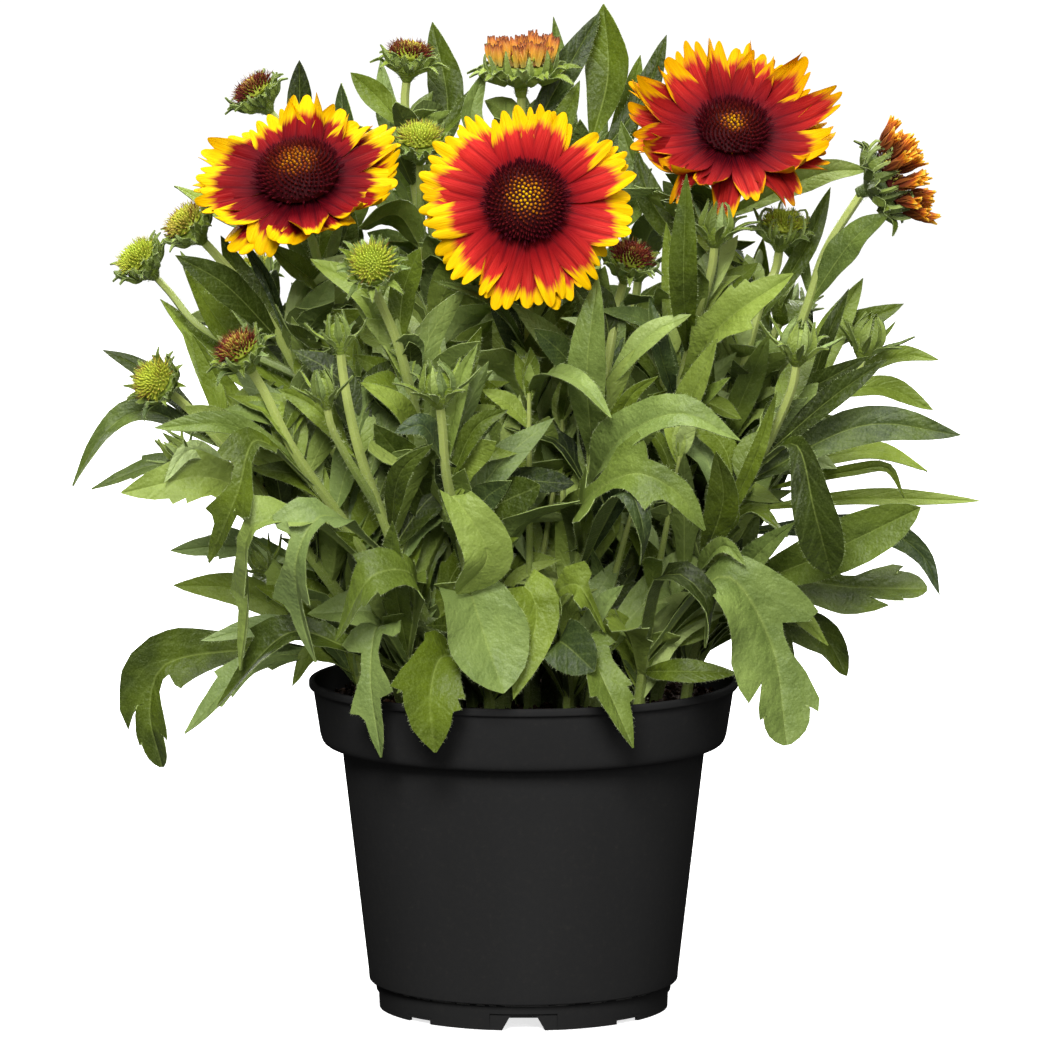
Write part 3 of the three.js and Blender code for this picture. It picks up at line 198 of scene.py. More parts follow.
class Rib:
    """A smooth line through a few points, measured along its own length."""

    def __init__(self, points, steps=200):
        self.points = np.array(points, float)
        self.marks = np.linspace(0, 1, steps + 1)
        self.line = self.through(self.marks)
        gaps = np.linalg.norm(np.diff(self.line, axis=0), axis=1)
        self.run = np.concatenate([[0], np.cumsum(gaps)])
        self.length = self.run[-1]

    def through(self, marks):
        p = self.points
        last = len(p) - 1
        knots = np.vstack([2 * p[0] - p[1], p, 2 * p[last] - p[last - 1]])
        spot = np.asarray(marks, float) * last
        span = np.minimum(np.floor(spot).astype(int), last - 1)
        weight = (spot - span)[:, None]
        p0, p1, p2, p3 = (knots[span + i] for i in range(4))
        d0, d1, d2 = (np.sum((b - a) ** 2, axis=1, keepdims=True) ** 0.25
                      for a, b in ((p0, p1), (p1, p2), (p2, p3)))
        d1 = np.where(d1 < 1e-4, 1, d1)
        d0 = np.where(d0 < 1e-4, d1, d0)
        d2 = np.where(d2 < 1e-4, d1, d2)
        t1 = ((p1 - p0) / d0 - (p2 - p0) / (d0 + d1) + (p2 - p1) / d1) * d1
        t2 = ((p2 - p1) / d1 - (p3 - p1) / (d1 + d2) + (p3 - p2) / d2) * d1
        return (p1 + weight * t1 + weight ** 2 * (-3 * p1 + 3 * p2 - 2 * t1 - t2)
                + weight ** 3 * (2 * p1 - 2 * p2 + t1 + t2))

    def marks_at(self, shares):
        return np.interp(np.asarray(shares, float) * self.length, self.run, self.marks)

    def at(self, shares):
        return self.through(self.marks_at(shares))

    def ahead(self, shares):
        marks = self.marks_at(shares)
        return unit(self.through(np.minimum(marks + 1e-4, 1)) - self.through(np.maximum(marks - 1e-4, 0)))

    def at_height(self, height):
        above = np.nonzero(self.line[:, 2] >= height)[0]
        return self.line[above[0] if len(above) else -1]


# ------------------------------------------------------------------ the plant, stem by stem


def head(kind, at, looks, **more):
    """A flower head or a bud: where it sits, and which way it looks."""
    return {"kind": kind, "at": at, "looks": looks, **more}


def fork(low, way, top):
    """A side stem, from a height on its stem to its own head."""
    return {"low": low, "way": way, "head": top}


def stem(name, root, way, grown, top, leaves, *forks):
    """A stem, from its root by way of a few spots to its head. Each leaf has its height, outline,
    width and way. grown sets more leaves: the draw, lowest and highest foot, count and length."""
    return {"name": name, "root": root, "way": way, "grown": grown, "head": top, "leaves": leaves,
            "forks": forks}


STEMS = [
    stem("stem_left_bloom", (-30, -8), [(-52, 200, -6), (-78, 285, 6)], (11, 150, 262, 3, 62),
         head("bloom", (-87.7, 327, -34), (-0.12, -0.63, 0.77),
              name="left", seed=61, petals=22, radius=43.5, disc=16.5, lift=1.5),
         [(286, "lance", 10, (-86, 292, -24), (-101, 304, -34)),
         (262, "lance", 8, (-92, 270, -47), (-97, 280, -58))]),
    stem("stem_middle_bloom", (4, -17), [(3, 200, -20), (2, 280, -24)], (12, 150, 250, 2, 60),
         head("bloom", (1, 318.5, -76), (0, -0.93, 0.37),
              name="middle", seed=62, petals=24, radius=42.8, disc=16, lift=-1.5),
         [(236, "ribbon", 9, (10, 253, -70), (24, 248, -95), (35, 235, -101)),
         (262, "lance", 5, (-15, 283, -60), (-35, 289, -71))]),
    stem("stem_right_bloom", (26, -2), [(54, 220, 5), (76, 305, 17)], (13, 150, 285, 4, 60),
         head("bloom", (82, 346, -17), (0.06, -0.7, 0.71),
              name="right", seed=63, petals=24, radius=42.8, disc=14, lift=5),
         [(312, "lance", 11, (118, 332, 14), (136, 333, 14)),
         (290, "lance", 11, (52, 318, 20), (44, 340, 28))]),
    stem("stem_side_bud", (44, 5), [(92, 225, 3), (112, 280, 0), (119, 301, -1)], (14, 150, 262, 3, 62),
         head("opening", (143, 328, -4), (0.93, -0.1, 0.37), name="side", spread=14, tall=17),
         [(280, "lance", 12, (131, 307, -10), (144, 316, -13)),
         (250, "lance", 10, (124, 268, 11), (150, 280, 14))]),
    stem("stem_top_bud", (-4, 14), [(-4, 250, 22), (-2, 330, 21)], (15, 160, 318, 3, 60),
         head("opening", (-1, 374, 21), (0, -0.12, 1), name="top", spread=14, tall=12),
         [(338, "lance", 8, (-20, 352, 20), (-15, 372, 22)),
         (335, "lance", 11, (10, 360, 28), (30, 395, 36)),
         (322, "lance", 9, (12, 345, 17), (22, 368, 17))]),
    stem("stem_high_left_bud", (-30, 13), [(-56, 230, 28), (-84, 320, 42)], (16, 155, 300, 4, 60),
         head("button", (-105, 363, 45), (-0.55, -0.2, 0.8)),
         [(330, "lance", 10, (-88, 352, 48), (-88, 376, 50)),
         (300, "lance", 10, (-112, 314, 25), (-137, 327, 20)),
         (318, "lance", 10, (-72, 346, 48), (-72, 367, 50))]),
    stem("stem_upper_buds", (-16, 6), [(-32, 240, 13), (-42, 320, 28)], (17, 150, 300, 3, 58),
         head("button", (-45, 377, 35), (0.1, -0.15, 1)),
         [(335, "lance", 6, (-28, 352, 34), (-14, 371, 36)),
         (345, "lance", 10, (-58, 362, 42), (-68, 371, 42))],
         fork(300, [], head("button", (-41, 344, 8), (0, -0.4, 0.9)))),
    stem("stem_middle_left_bud", (-20, -23), [(-38, 215, -59), (-50, 265, -84)], (18, 145, 240, 2, 56),
         head("button", (-59.5, 295, -104), (-0.05, -0.8, 0.6)),
         [(248, "lance", 13, (-60, 282, -74), (-84, 298, -64)),
         (222, "lance", 10.5, (-50, 240, -89), (-64, 249, -95)),
         (188, "lance", 17, (-44, 212, -73), (-59, 232, -88))]),
    stem("stem_far_left_buds", (-42, -3), [(-74, 220, -10), (-101, 274, -17)], (19, 150, 240, 3, 62),
         head("button", (-132, 311, -20), (-0.6, -0.35, 0.7)),
         [(266, "lance", 12, (-118, 288, -37), (-137, 299, -43)),
         (262, "lance", 10, (-112, 292, 3), (-119, 307, 3)),
         (240, "lance", 10, (-120, 276, 8), (-135, 301, 11)),
         (254, "lance", 6, (-102, 290, 0), (-112, 307, -4))],
         fork(252, [(-128, 271, -4)], head("button", (-151, 297, -7), (-0.6, -0.35, 0.7)))),
    stem("stem_left_yellow_bud", (-48, -15), [(-92, 190, -25), (-126, 232, -28)], (20, 145, 190, 1, 60),
         head("button", (-145, 249, -36), (-0.5, -0.65, 0.5)),
         [(232, "lance", 8, (-150, 254, -13), (-166, 262, -10)),
         (222, "lance", 8, (-124, 250, -4), (-135, 271, 0)),
         (226, "lance", 10, (-150, 238, -19), (-165, 230, -22), (-179, 208, -20)),
         (214, "lance", 7, (-132, 222, -54), (-142, 209, -59)),
         (204, "toothed", 9, (-140, 217, -20), (-171, 207, -23)),
         (192, "toothed", 19, (-122, 211, -50), (-159, 205, -58)),
         (176, "toothed", 12, (-112, 184, 0), (-140, 182, 4))],
         fork(205, [], head("small", (-137, 222, -46), (-0.6, -0.3, 0.6)))),
    stem("stem_left_maroon_bud", (-34, -22), [(-66, 185, -53), (-91, 222, -70)], (21, 140, 190, 2, 58),
         head("button", (-112, 261, -80), (-0.45, -0.4, 0.8)),
         [(222, "lance", 9, (-116, 232, -78), (-146, 231, -78)),
         (214, "cut", 18, (-106, 226, -85), (-113, 206, -92), (-125, 177, -82)),
         (182, "toothed", 17, (-88, 195, -86), (-108, 191, -94), (-110, 160, -77), (-113, 134, -70)),
         (200, "lance", 11, (-92, 214, -44), (-117, 222, -42))]),
    stem("stem_front_green_bud", (-10, -36), [(-26, 190, -74), (-31, 215, -89)], (22, 145, 190, 1, 50),
         head("bud", (-34, 248, -101), (-0.1, -0.3, 1)),
         [(196, "ribbon", 15, (-28, 204, -101), (-14, 180, -102), (-26, 164, -92)),
         (228, "lance", 9, (-40, 232, -106), (-51, 229, -108)),
         (218, "lance", 8, (-18, 232, -90), (-6, 238, -89)),
         (224, "lance", 7, (-24, 252, -98), (-18, 264, -101))]),
    stem("stem_behind_middle_bud", (15, -31), [(27, 215, -48), (34, 262, -50)], (23, 145, 205, 1, 52),
         head("button", (42, 297, -50), (0.25, -0.4, 0.9)),
         [(222, "lance", 14, (25, 256, -77), (29, 291, -77)),
         (196, "lance", 17, (37, 226, -95), (62, 237, -110), (86, 226, -110)),
         (186, "cut", 22, (24, 202, -89), (45, 213, -112), (60, 206, -115), (72, 190, -113)),
         (178, "lance", 11, (42, 206, -113), (48, 190, -119), (47, 176, -108)),
         (210, "lance", 7, (43, 244, -74), (53, 251, -79)),
         (250, "lance", 9, (50, 268, -58), (66, 276, -58))]),
    stem("stem_middle_right_bud", (29, -19), [(56, 225, -28), (68, 272, -34)], (24, 145, 226, 2, 56),
         head("bud", (76, 312, -41), (0.1, -0.2, 1)), [(262, "lance", 10.5, (63, 290, -71), (64, 331, -80)),
         (250, "toothed", 18, (78, 272, -58), (106, 292, -67)),
         (228, "lance", 10.5, (64, 240, -54), (76, 266, -67)),
         (236, "lance", 7, (72, 244, -55), (81, 251, -62)),
         (244, "lance", 8, (54, 262, -50), (50, 282, -50))]),
    stem("stem_right_curled_bud", (37, -10), [(78, 225, -10), (95, 285, -10)], (25, 150, 235, 3, 58),
         head("button", (102, 310, -13), (0.15, -0.3, 1)),
         [(272, "lance", 8, (110, 300, -7), (121, 326, -4)),
         (232, "lance", 9, (112, 246, -23), (136, 259, -30)),
         (218, "lance", 10, (88, 246, -23), (97, 268, -26))]),
    stem("stem_right_green_bud", (42, -24), [(78, 190, -49), (98, 228, -65)], (26, 145, 190, 2, 56),
         head("bud", (109, 265, -77), (0.15, -0.2, 1)),
         [(222, "spoon", 17, (108, 224, -85), (115, 198, -94), (122, 172, -81)),
         (216, "lance", 14.5, (135, 232, -53), (173, 228, -55)),
         (224, "lance", 9, (122, 243, -65), (143, 258, -67)),
         (182, "lance", 12, (79, 203, -68), (76, 221, -76)),
         (186, "lance", 6, (92, 220, -70), (100, 245, -78)),
         (170, "lance", 8, (80, 184, -74), (88, 176, -77))]),
    stem("stem_far_right_bud", (52, -5), [(98, 210, -2), (124, 250, 0)], (27, 150, 205, 2, 60),
         head("bud", (136, 267, 0), (0.3, -0.2, 1)),
         [(250, "lance", 7, (138, 256, 8), (150, 260, 11), (164, 258, 11)),
         (242, "lance", 9, (142, 247, 8), (162, 238, 8)),
         (232, "lance", 7, (118, 262, -17), (128, 286, -17)),
         (214, "lance", 8, (140, 222, 5), (160, 214, 5)), (198, "lance", 7, (132, 203, -6), (181, 202, -8)),
         (206, "lance", 5, (130, 214, -24), (144, 215, -26), (151, 203, -25)),
         (188, "lance", 10, (142, 190, 7), (158, 180, 7), (165, 164, 4))]),
    stem("stem_small_left_buds", (-26, -33), [(-52, 185, -69), (-66, 225, -85)], (28, 140, 180, 1, 50),
         head("small", (-73, 268, -88), (-0.1, -0.2, 1)),
         [(184, "cut", 22, (-80, 196, -92), (-90, 180, -94), (-89, 158, -81), (-83, 137, -76)),
         (226, "lance", 9, (-84, 240, -77), (-97, 246, -74)),
         (196, "lance", 8, (-48, 214, -97), (-36, 224, -101))],
         fork(205, [], head("small", (-79, 246, -103), (-0.2, -0.3, 1)))),
    stem("stem_low_left_bud", (-55, 3), [(-84, 154, 0)], (29, 132, 160, 3, 58),
         head("small", (-104, 178, -10), (-0.5, -0.3, 0.8)),
         [(140, "toothed", 15, (-118, 146, -2), (-147, 141, -6), (-153, 124, -6), (-149, 103, -6)),
         (145, "lance", 12, (-112, 166, 11), (-139, 168, 15))]),
    stem("shoot_upper_right", (13, 15), [(20, 240, 29), (27, 345, 36)], (30, 160, 300, 3, 60),
         None, [(342, "lance", 17, (33, 370, 38), (31, 398, 39)),
         (330, "lance", 9, (46, 360, 42), (56, 386, 45)),
         (320, "lance", 10, (38, 345, 50), (46, 378, 53)), (312, "lance", 9, (18, 345, 48), (12, 393, 50)),
         (300, "lance", 11, (44, 320, 25), (38, 352, 28))]),
    stem("shoot_upper_left", (-14, 24), [(-30, 240, 40), (-38, 335, 48)], (31, 160, 310, 4, 60),
         None, [(330, "lance", 13, (-30, 355, 53), (-36, 391, 59)),
         (322, "lance", 9, (-52, 350, 56), (-56, 376, 62)),
         (300, "lance", 10, (-58, 325, 50), (-68, 352, 56))]),
    stem("stem_back_left_bud", (-44, 24), [(-80, 220, 58)], (32, 145, 265, 6, 68),
         head("button", (-106, 292, 98), (-0.4, 0.5, 0.9)), []),
    stem("stem_back_middle_bud", (-16, 38), [(-32, 230, 72)], (33, 145, 300, 6, 68),
         head("button", (-42, 322, 104), (-0.1, 0.5, 0.9)), []),
    stem("stem_back_right_bud", (16, 38), [(34, 220, 70)], (34, 145, 280, 6, 68),
         head("bud", (46, 300, 97), (0.1, 0.5, 0.9)), []),
    stem("stem_back_far_right_bud", (44, 24), [(80, 215, 57)], (35, 145, 258, 6, 68),
         head("bud", (104, 280, 92), (0.4, 0.4, 0.9)), []),
    stem("basal_leaves_front_left", (-42, -44), [(-46, 152, -53)], (41, 136, 146, 1, 52),
         None, [(144, "toothed", 17, (-44, 173, -80), (-60, 172, -91), (-75, 146, -82)),
         (142, "cut", 17, (-58, 152, -72), (-61, 132, -76), (-57, 99, -78)),
         (138, "lance", 12, (-70, 146, -66), (-92, 153, -68), (-122, 124, -62)),
         (140, "lance", 10, (-52, 176, -77), (-52, 193, -91))]),
    stem("basal_leaves_front", (-13, -56), [(-15, 146, -60)], (42, 136, 142, 1, 50),
         None, [(142, "spoon", 21, (-24, 166, -84), (-20, 150, -84), (-13, 126, -90)),
         (136, "toothed", 27, (-32, 140, -80), (-37, 124, -91), (-35, 101, -92)),
         (140, "spoon", 23, (-2, 168, -84), (2, 158, -87), (-8, 122, -94))]),
    stem("basal_leaves_front_right", (17, -52), [(18, 146, -56)], (43, 136, 142, 1, 50),
         None, [(140, "toothed", 17, (24, 145, -80), (34, 126, -91), (44, 103, -92)),
         (138, "spoon", 18, (14, 146, -74), (28, 134, -80)),
         (142, "cut", 15, (12, 164, -74), (22, 168, -86), (33, 149, -82)),
         (141, "lance", 9, (30, 158, -69), (39, 168, -78))]),
    stem("basal_leaves_right_front", (44, -42), [(50, 154, -52)], (44, 138, 148, 1, 52),
         None, [(140, "lance", 9, (60, 134, -66), (85, 133, -66)),
         (150, "ribbon", 11, (58, 174, -81), (72, 164, -86), (73, 143, -80)),
         (146, "cut", 30, (80, 172, -74), (98, 146, -72), (105, 104, -76)),
         (144, "toothed", 24, (84, 166, -66), (106, 146, -64), (118, 120, -66)),
         (148, "toothed", 11, (78, 160, -55), (106, 158, -58), (121, 144, -56))]),
    stem("basal_leaves_right", (63, -14), [(72, 156, -16)], (45, 138, 150, 2, 58),
         None, [(146, "spoon", 20, (92, 168, -39), (118, 180, -54), (157, 199, -65)),
         (144, "toothed", 16, (100, 168, -31), (132, 166, -37), (160, 165, -39)),
         (150, "lance", 10.5, (92, 180, -56), (107, 193, -70)),
         (142, "lance", 10, (106, 152, 2), (138, 146, 6), (152, 130, 8))]),
    stem("basal_leaves_left", (-62, -22), [(-70, 150, -26)], (46, 136, 146, 3, 56),
         None, [(142, "lance", 10, (-106, 140, -42), (-138, 111, -44)),
         (140, "lance", 8, (-96, 152, -26), (-128, 146, -26)),
         (136, "lance", 7, (-84, 141, -38), (-92, 128, -42))]),
    stem("basal_leaves_back_left", (-48, 42), [(-58, 152, 52)], (47, 136, 148, 5, 66),
         None, []),
    stem("basal_leaves_back", (0, 60), [(0, 152, 68)], (48, 136, 148, 5, 58),
         None, []),
    stem("basal_leaves_back_right", (48, 42), [(60, 152, 52)], (49, 136, 148, 5, 66),
         None, []),
]

HEADS = {
    "bloom": {"cup": 11, "depth": 12, "bracts": 10, "reach": 20, "tip": -5, "room": 38},
    "opening": {"cup": 10, "depth": 12, "bracts": 11, "reach": 20, "tip": -1.5, "room": 20},
    "button": {"cup": 7.6, "depth": 9, "bracts": 8, "reach": 14.5, "tip": 1.5, "room": 15},
    "bud": {"cup": 6.2, "depth": 9, "bracts": 8, "reach": 10.5, "tip": 7, "room": 13},
    "small": {"cup": 4.2, "depth": 7, "bracts": 6, "reach": 7.5, "tip": 7, "room": 9},
}

SOIL_TOP = 122
HOLE_DEPTH = 12
STEM_FOOT_RADIUS = 2.6
STEM_NECK_RADIUS = 1.7


class HeadFrame:
    """A head's own frame, whose +Z is the way that it looks."""

    def __init__(self, head):
        self.axis = unit(np.array(head["looks"], float))
        self.centre = place(head["at"])
        turn = Vector((0, 0, 1)).rotation_difference(Vector(self.axis))
        self.turn = np.array(turn.to_matrix())

    def put(self, spots):
        return np.asarray(spots, float) @ self.turn.T + self.centre

    def aim(self, ways):
        return np.asarray(ways, float) @ self.turn.T


def heads_of(stem):
    return [stem["head"]] * bool(stem["head"]) + [fork["head"] for fork in stem["forks"]]


def neck_points(head):
    own = HeadFrame(head)
    depth = HEADS[head["kind"]]["depth"]
    return [own.centre - own.axis * (depth + 9), own.centre - own.axis * (depth - 1.6)]


def stem_rib(stem):
    x, y = stem["root"]
    points = [(x, y, SOIL_TOP - HOLE_DEPTH), (x * 1.02, y * 1.02, SOIL_TOP + 5)]
    points += [place(spot) for spot in stem["way"]]
    head = stem["head"]
    if head:
        sideways = abs(head["looks"][2]) < 0.4 and head["kind"] == "opening"
        points += neck_points(head)[sideways:]
    return Rib(points)


def fork_rib(fork, rib):
    points = [rib.at_height(fork["low"])] + [place(spot) for spot in fork["way"]]
    return Rib(points + neck_points(fork["head"]))


# ------------------------------------------------------------------ modelling by hand

def start(name):
    """Names the shape that was just added, and opens it for editing."""
    piece = bpy.context.active_object
    piece.name = name
    bpy.ops.object.mode_set(mode="EDIT")
    pick_all()
    return piece


def pick_all():
    bpy.ops.mesh.select_all(action="SELECT")


def pick(piece, test):
    """Picks the points that pass a test of their number and place."""
    shape = bmesh.from_edit_mesh(piece.data)
    shape.verts.index_update()
    for part in (*shape.edges, *shape.faces):
        part.select = False
    for vert in shape.verts:
        vert.select = bool(test(vert.index, vert.co))
    shape.select_flush_mode()
    bmesh.update_edit_mesh(piece.data)


def move(x=0, y=0, z=0):
    bpy.ops.transform.translate(value=(x, y, z))


def stretch(x=1, y=1, z=1):
    bpy.ops.transform.resize(value=(x, y, z), center_override=ORIGIN)


def swing(angle, axis="Z"):
    bpy.ops.transform.rotate(value=angle, orient_axis=axis, center_override=ORIGIN)


def set_four_round():
    """Copies what is being edited to all four sides of the pot."""
    for turn in (180, 90):
        pick_all()
        bpy.ops.mesh.duplicate()
        swing(math.radians(turn))


def close(piece):
    bpy.ops.object.mode_set(mode="OBJECT")
    return piece


def deselect():
    bpy.ops.object.select_all(action="DESELECT")


def modify(piece, kind, **settings):
    extra = piece.modifiers.new(kind.title(), kind)
    for key, value in settings.items():
        setattr(extra, key, value)
    bpy.context.view_layer.objects.active = piece
    bpy.ops.object.modifier_apply(modifier=extra.name)


def hand_in(piece, nodes, angle):
    """Smooths a finished piece, hangs it under the root and hides the parts of the solid model that it
    stands for.
    """
    deselect()
    piece.select_set(True)
    bpy.context.view_layer.objects.active = piece
    bpy.ops.object.shade_smooth_by_angle(angle=math.radians(angle))
    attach(piece, "root")
    if nodes:
        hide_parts(*nodes)


class Blank:
    """A shape that is modelled once, and then copied many times."""

    def __init__(self, piece):
        mesh = close(piece).data
        self.spots = np.array([tuple(v.co) for v in mesh.vertices])
        self.quads, self.tris = (
            np.array([tuple(f.vertices) for f in mesh.polygons if len(f.vertices) == n], int).reshape(-1, n)
            for n in (4, 3))
        bpy.data.objects.remove(piece)
        bpy.data.meshes.remove(mesh)


def sheet_blank(name, columns, rows, thick, shape_row, shape_column=None, groove=None):
    """A flat shape in a square grid, set column by column and row by row, then given its thickness.

    It runs from 0 to 1 along y and from -1 to 1 across x, and its top lies at z = 0."""
    deselect()
    wide, long = len(columns), len(rows)
    bpy.ops.mesh.primitive_grid_add(x_subdivisions=wide - 1, y_subdivisions=long - 1, size=2)
    piece = start(name)
    move(y=1)
    stretch(y=0.5)
    for i, across in enumerate(columns):
        pick(piece, lambda k, co: k % wide == i)
        move(across + 1 - 2 * i / (wide - 1))
    for j, along in enumerate(rows):
        pick(piece, lambda k, co: k // wide == j)
        move(y=along - j / (long - 1))
    for i, across in enumerate(columns if shape_column else ()):
        pick(piece, lambda k, co: k % wide == i)
        stretch(y=shape_column(across))
    for j, along in enumerate(rows):
        for way, (share, sweep) in zip((-1, 1), shape_row(along)):
            pick(piece, lambda k, co: k // wide == j and co.x * way > 1e-6)
            stretch(share)
            for i, across in enumerate(columns if sweep else ()):
                if across * way > 0.3:
                    pick(piece, lambda k, co: k == j * wide + i)
                    move(y=sweep * abs(across) ** 1.5)
    close(piece)
    modify(piece, "SOLIDIFY", thickness=thick, offset=-1)
    if groove:
        bpy.ops.object.mode_set(mode="EDIT")
        middle = [k for k, c in enumerate(columns) if abs(c) < 1e-6]
        pick(piece, lambda k, co: k % wide in middle and k < wide * long)
        move(z=-groove)
        pick(piece, lambda k, co: (k - wide * long) % wide in middle and k >= wide * long)
        move(z=-groove * 1.5)
    blank = Blank(piece)
    blank.left = np.arange(long) * wide
    blank.right = np.arange(long) * wide + wide - 1
    return blank


# Half widths along the left and right edge of each leaf, as shares: "along half-width sweep".
LEAF_EDGES = {
    "lance": [
        "0 .14, .1 .36, .2 .57, .3 .75, .4 .88, .5 .97, .6 1, .7 .92, .8 .72, .88 .49, .94 .28, "
        ".98 .1, 1 .015",
    ],
    "spoon": [
        "0 .14, .1 .19, .2 .27, .3 .38, .4 .53, .5 .73, .6 .91, .7 1, .78 .99, .86 .86, .92 .66, "
        ".97 .34, 1 .03",
    ],
    "ribbon": [
        "0 .4, .1 .7, .2 .87, .4 .97, .6 1, .75 .96, .86 .8, .93 .55, .98 .22, 1 .03",
    ],
    "grown": [
        "0 .16, .1 .45, .2 .68, .3 .84, .42 .95, .55 1, .68 .94, .78 .8, .86 .6, .93 .34, .98 .12, "
        "1 .015",
    ],
    "notched": [
        "0 .16, .12 .36, .26 .54, .36 .72, .42 1 .03, .46 .76, .56 .86, .62 .98 .03, .66 .72, .76 .62, "
        ".86 .42, .94 .2, 1 .02",
        "0 .16, .12 .36, .26 .5, .4 .66, .47 .92, .52 1 .03, .56 .76, .66 .74, .71 .84 .02, .75 .6, "
        ".86 .42, .94 .2, 1 .02",
    ],
    "toothed": [
        "0 .14, .12 .2, .3 .42, .38 .66, .44 1 .035, .475 .68 .01, .56 .58, .62 .66, .68 .8 .03, "
        ".71 .62, .76 .72 .02, .79 .52, .86 .44, .93 .26, 1 .03",
        "0 .14, .12 .2, .3 .4, .38 .5, .44 .64 .02, .475 .54, .56 .64, .62 .82, .66 1 .035, "
        ".69 .68 .01, .76 .58, .79 .52, .86 .44, .93 .26, 1 .03",
    ],
    "cut": [
        "0 .1, .1 .14, .22 .2, .29 .36, .33 .68 .02, .37 .96 .045, .4 .74 .04, .43 .32, .52 .26, "
        ".58 .4, .62 .7 .02, .66 .96 .04, .69 .66 .03, .73 .36, .78 .34, .86 .32, .93 .22, 1 .03",
        "0 .1, .1 .14, .22 .2, .3 .24, .38 .32, .42 .7 .02, .46 .96 .045, .49 .72 .04, .53 .32, "
        ".62 .3, .67 .42, .72 .66 .02, .76 .82 .03, .79 .52 .01, .83 .34, .86 .32, .93 .22, 1 .03",
    ],
    "oak": [
        "0 .12, .15 .16, .32 .28, .44 .52 .01, .52 .86 .05, .575 1 .08, .61 .76 .06, .635 .34 .01, "
        ".68 .28, .73 .32, .775 .56 .02, .82 .76 .05, .85 .7 .06, .868 .52 .02, .9 .54, .935 .5, "
        ".965 .4, .985 .26, 1 .08",
        "0 .12, .15 .16, .28 .34 .01, .4 .64 .03, .5 .88 .06, .6 1 .1, .68 1 .13, .73 .84 .13, "
        ".76 .56 .06, .78 .42 .01, .82 .48, .86 .6 .02, .885 .6 .03, .905 .52, .94 .48, .965 .4, "
        ".985 .26, 1 .08",
    ],
    "slim": [
        "0 .25, .1 .5, .22 .78, .36 .96, .5 1, .64 .88, .76 .66, .87 .4, .95 .16, 1 .015",
    ],
    "bract": [
        "0 .5, .15 .9, .35 1, .6 .72, .8 .4, .93 .15, 1 .02",
    ],
}

BROAD = (-1, -0.74, -0.42, -0.1, 0, 0.1, 0.42, 0.74, 1)
NARROW = (-1, -0.5, 0, 0.5, 1)
NO_MIDRIB = (-1, -0.5, -0.09, 0.09, 0.5, 1)
GROOVE = 0.28
LONGEST_ROW = 0.05
# Half width of a petal along its length, as shares.
PETAL_EDGE = ((0, 0.3), (0.15, 0.46), (0.35, 0.72), (0.5, 0.86), (0.7, 0.95), (0.85, 0.93), (1, 0.84))


def leaf_blank(outline, columns, thick=0.45, plain=False):
    edges = []
    for text in (LEAF_EDGES[outline] * 2)[:2]:
        marks = [[float(v) for v in mark.split()] for mark in text.split(",")]
        edges.append(np.array([mark + [0] * (3 - len(mark)) for mark in marks]))
    rows = sorted({round(a, 4) for edge in edges for a in edge[:, 0]})
    if not plain:
        rows = sorted(set(rows) | {(a + b) / 2 for a, b in zip(rows, rows[1:]) if b - a > LONGEST_ROW})

    def shape_row(along):
        return [[np.interp(along, edge[:, 0], edge[:, k]) for k in (1, 2)] for edge in edges]
    return sheet_blank(f"leaf_{outline}", columns, rows, thick, shape_row, groove=GROOVE)


def petal_blank(fingers, deep, thick=0.3):
    """A petal with its rounded fingers, each [across, half width, end]."""
    columns = np.linspace(-1, 1, 21)
    rows = (0, 0.12, 0.24, 0.36, 0.48, 0.6, 0.7, 0.78, 0.85, 0.91, 0.96, 1)

    def end(across):
        tops = [top - deep * (1 - math.sqrt(max(0, 1 - ((across - middle) / half) ** 2)))
                for middle, half, top in fingers if abs(across - middle) < half]
        return max(tops + [min(top for middle, half, top in fingers) - deep * 0.84])

    def wide(along):
        share = float(np.interp(along, *zip(*PETAL_EDGE)))
        return [(share, 0)] * 2
    return sheet_blank("petal", columns, rows, thick, wide, end)


def floret_blank(middle, top):
    """A floret of a disc: five sides, swelling and then closing, one unit wide and one tall."""
    deselect()
    foot = 0.4
    bpy.ops.mesh.primitive_circle_add(vertices=5, radius=foot, fill_type="NGON")
    piece = start("floret")
    for rise, wide in ((middle[0], middle[1] / foot), (top[0], top[1] / middle[1])):
        bpy.ops.mesh.extrude_region_move(TRANSFORM_OT_translate={"value": (0, 0, rise)})
        bpy.ops.transform.resize(value=(wide, wide, 1))
    pick_all()
    bpy.ops.mesh.normals_make_consistent(inside=False)
    bpy.ops.mesh.quads_convert_to_tris()
    return Blank(piece)


def crumb_blank():
    deselect()
    bpy.ops.mesh.primitive_ico_sphere_add(subdivisions=1, radius=1)
    piece = start("crumb")
    pick(piece, lambda k, co: co.z > 0.3)
    move(0.25, 0.1, -0.3)
    pick(piece, lambda k, co: co.x < -0.4)
    bpy.ops.transform.resize(value=(0.8, 1.2, 0.9))
    return Blank(piece)


# ------------------------------------------------------------------ putting copies together

NO_QUADS = np.zeros((0, 4), int)
HAIR_TRIS = np.array([(0, 1, 3), (1, 2, 3), (2, 0, 3), (0, 2, 1)])
UNDERSIDE = 2.0


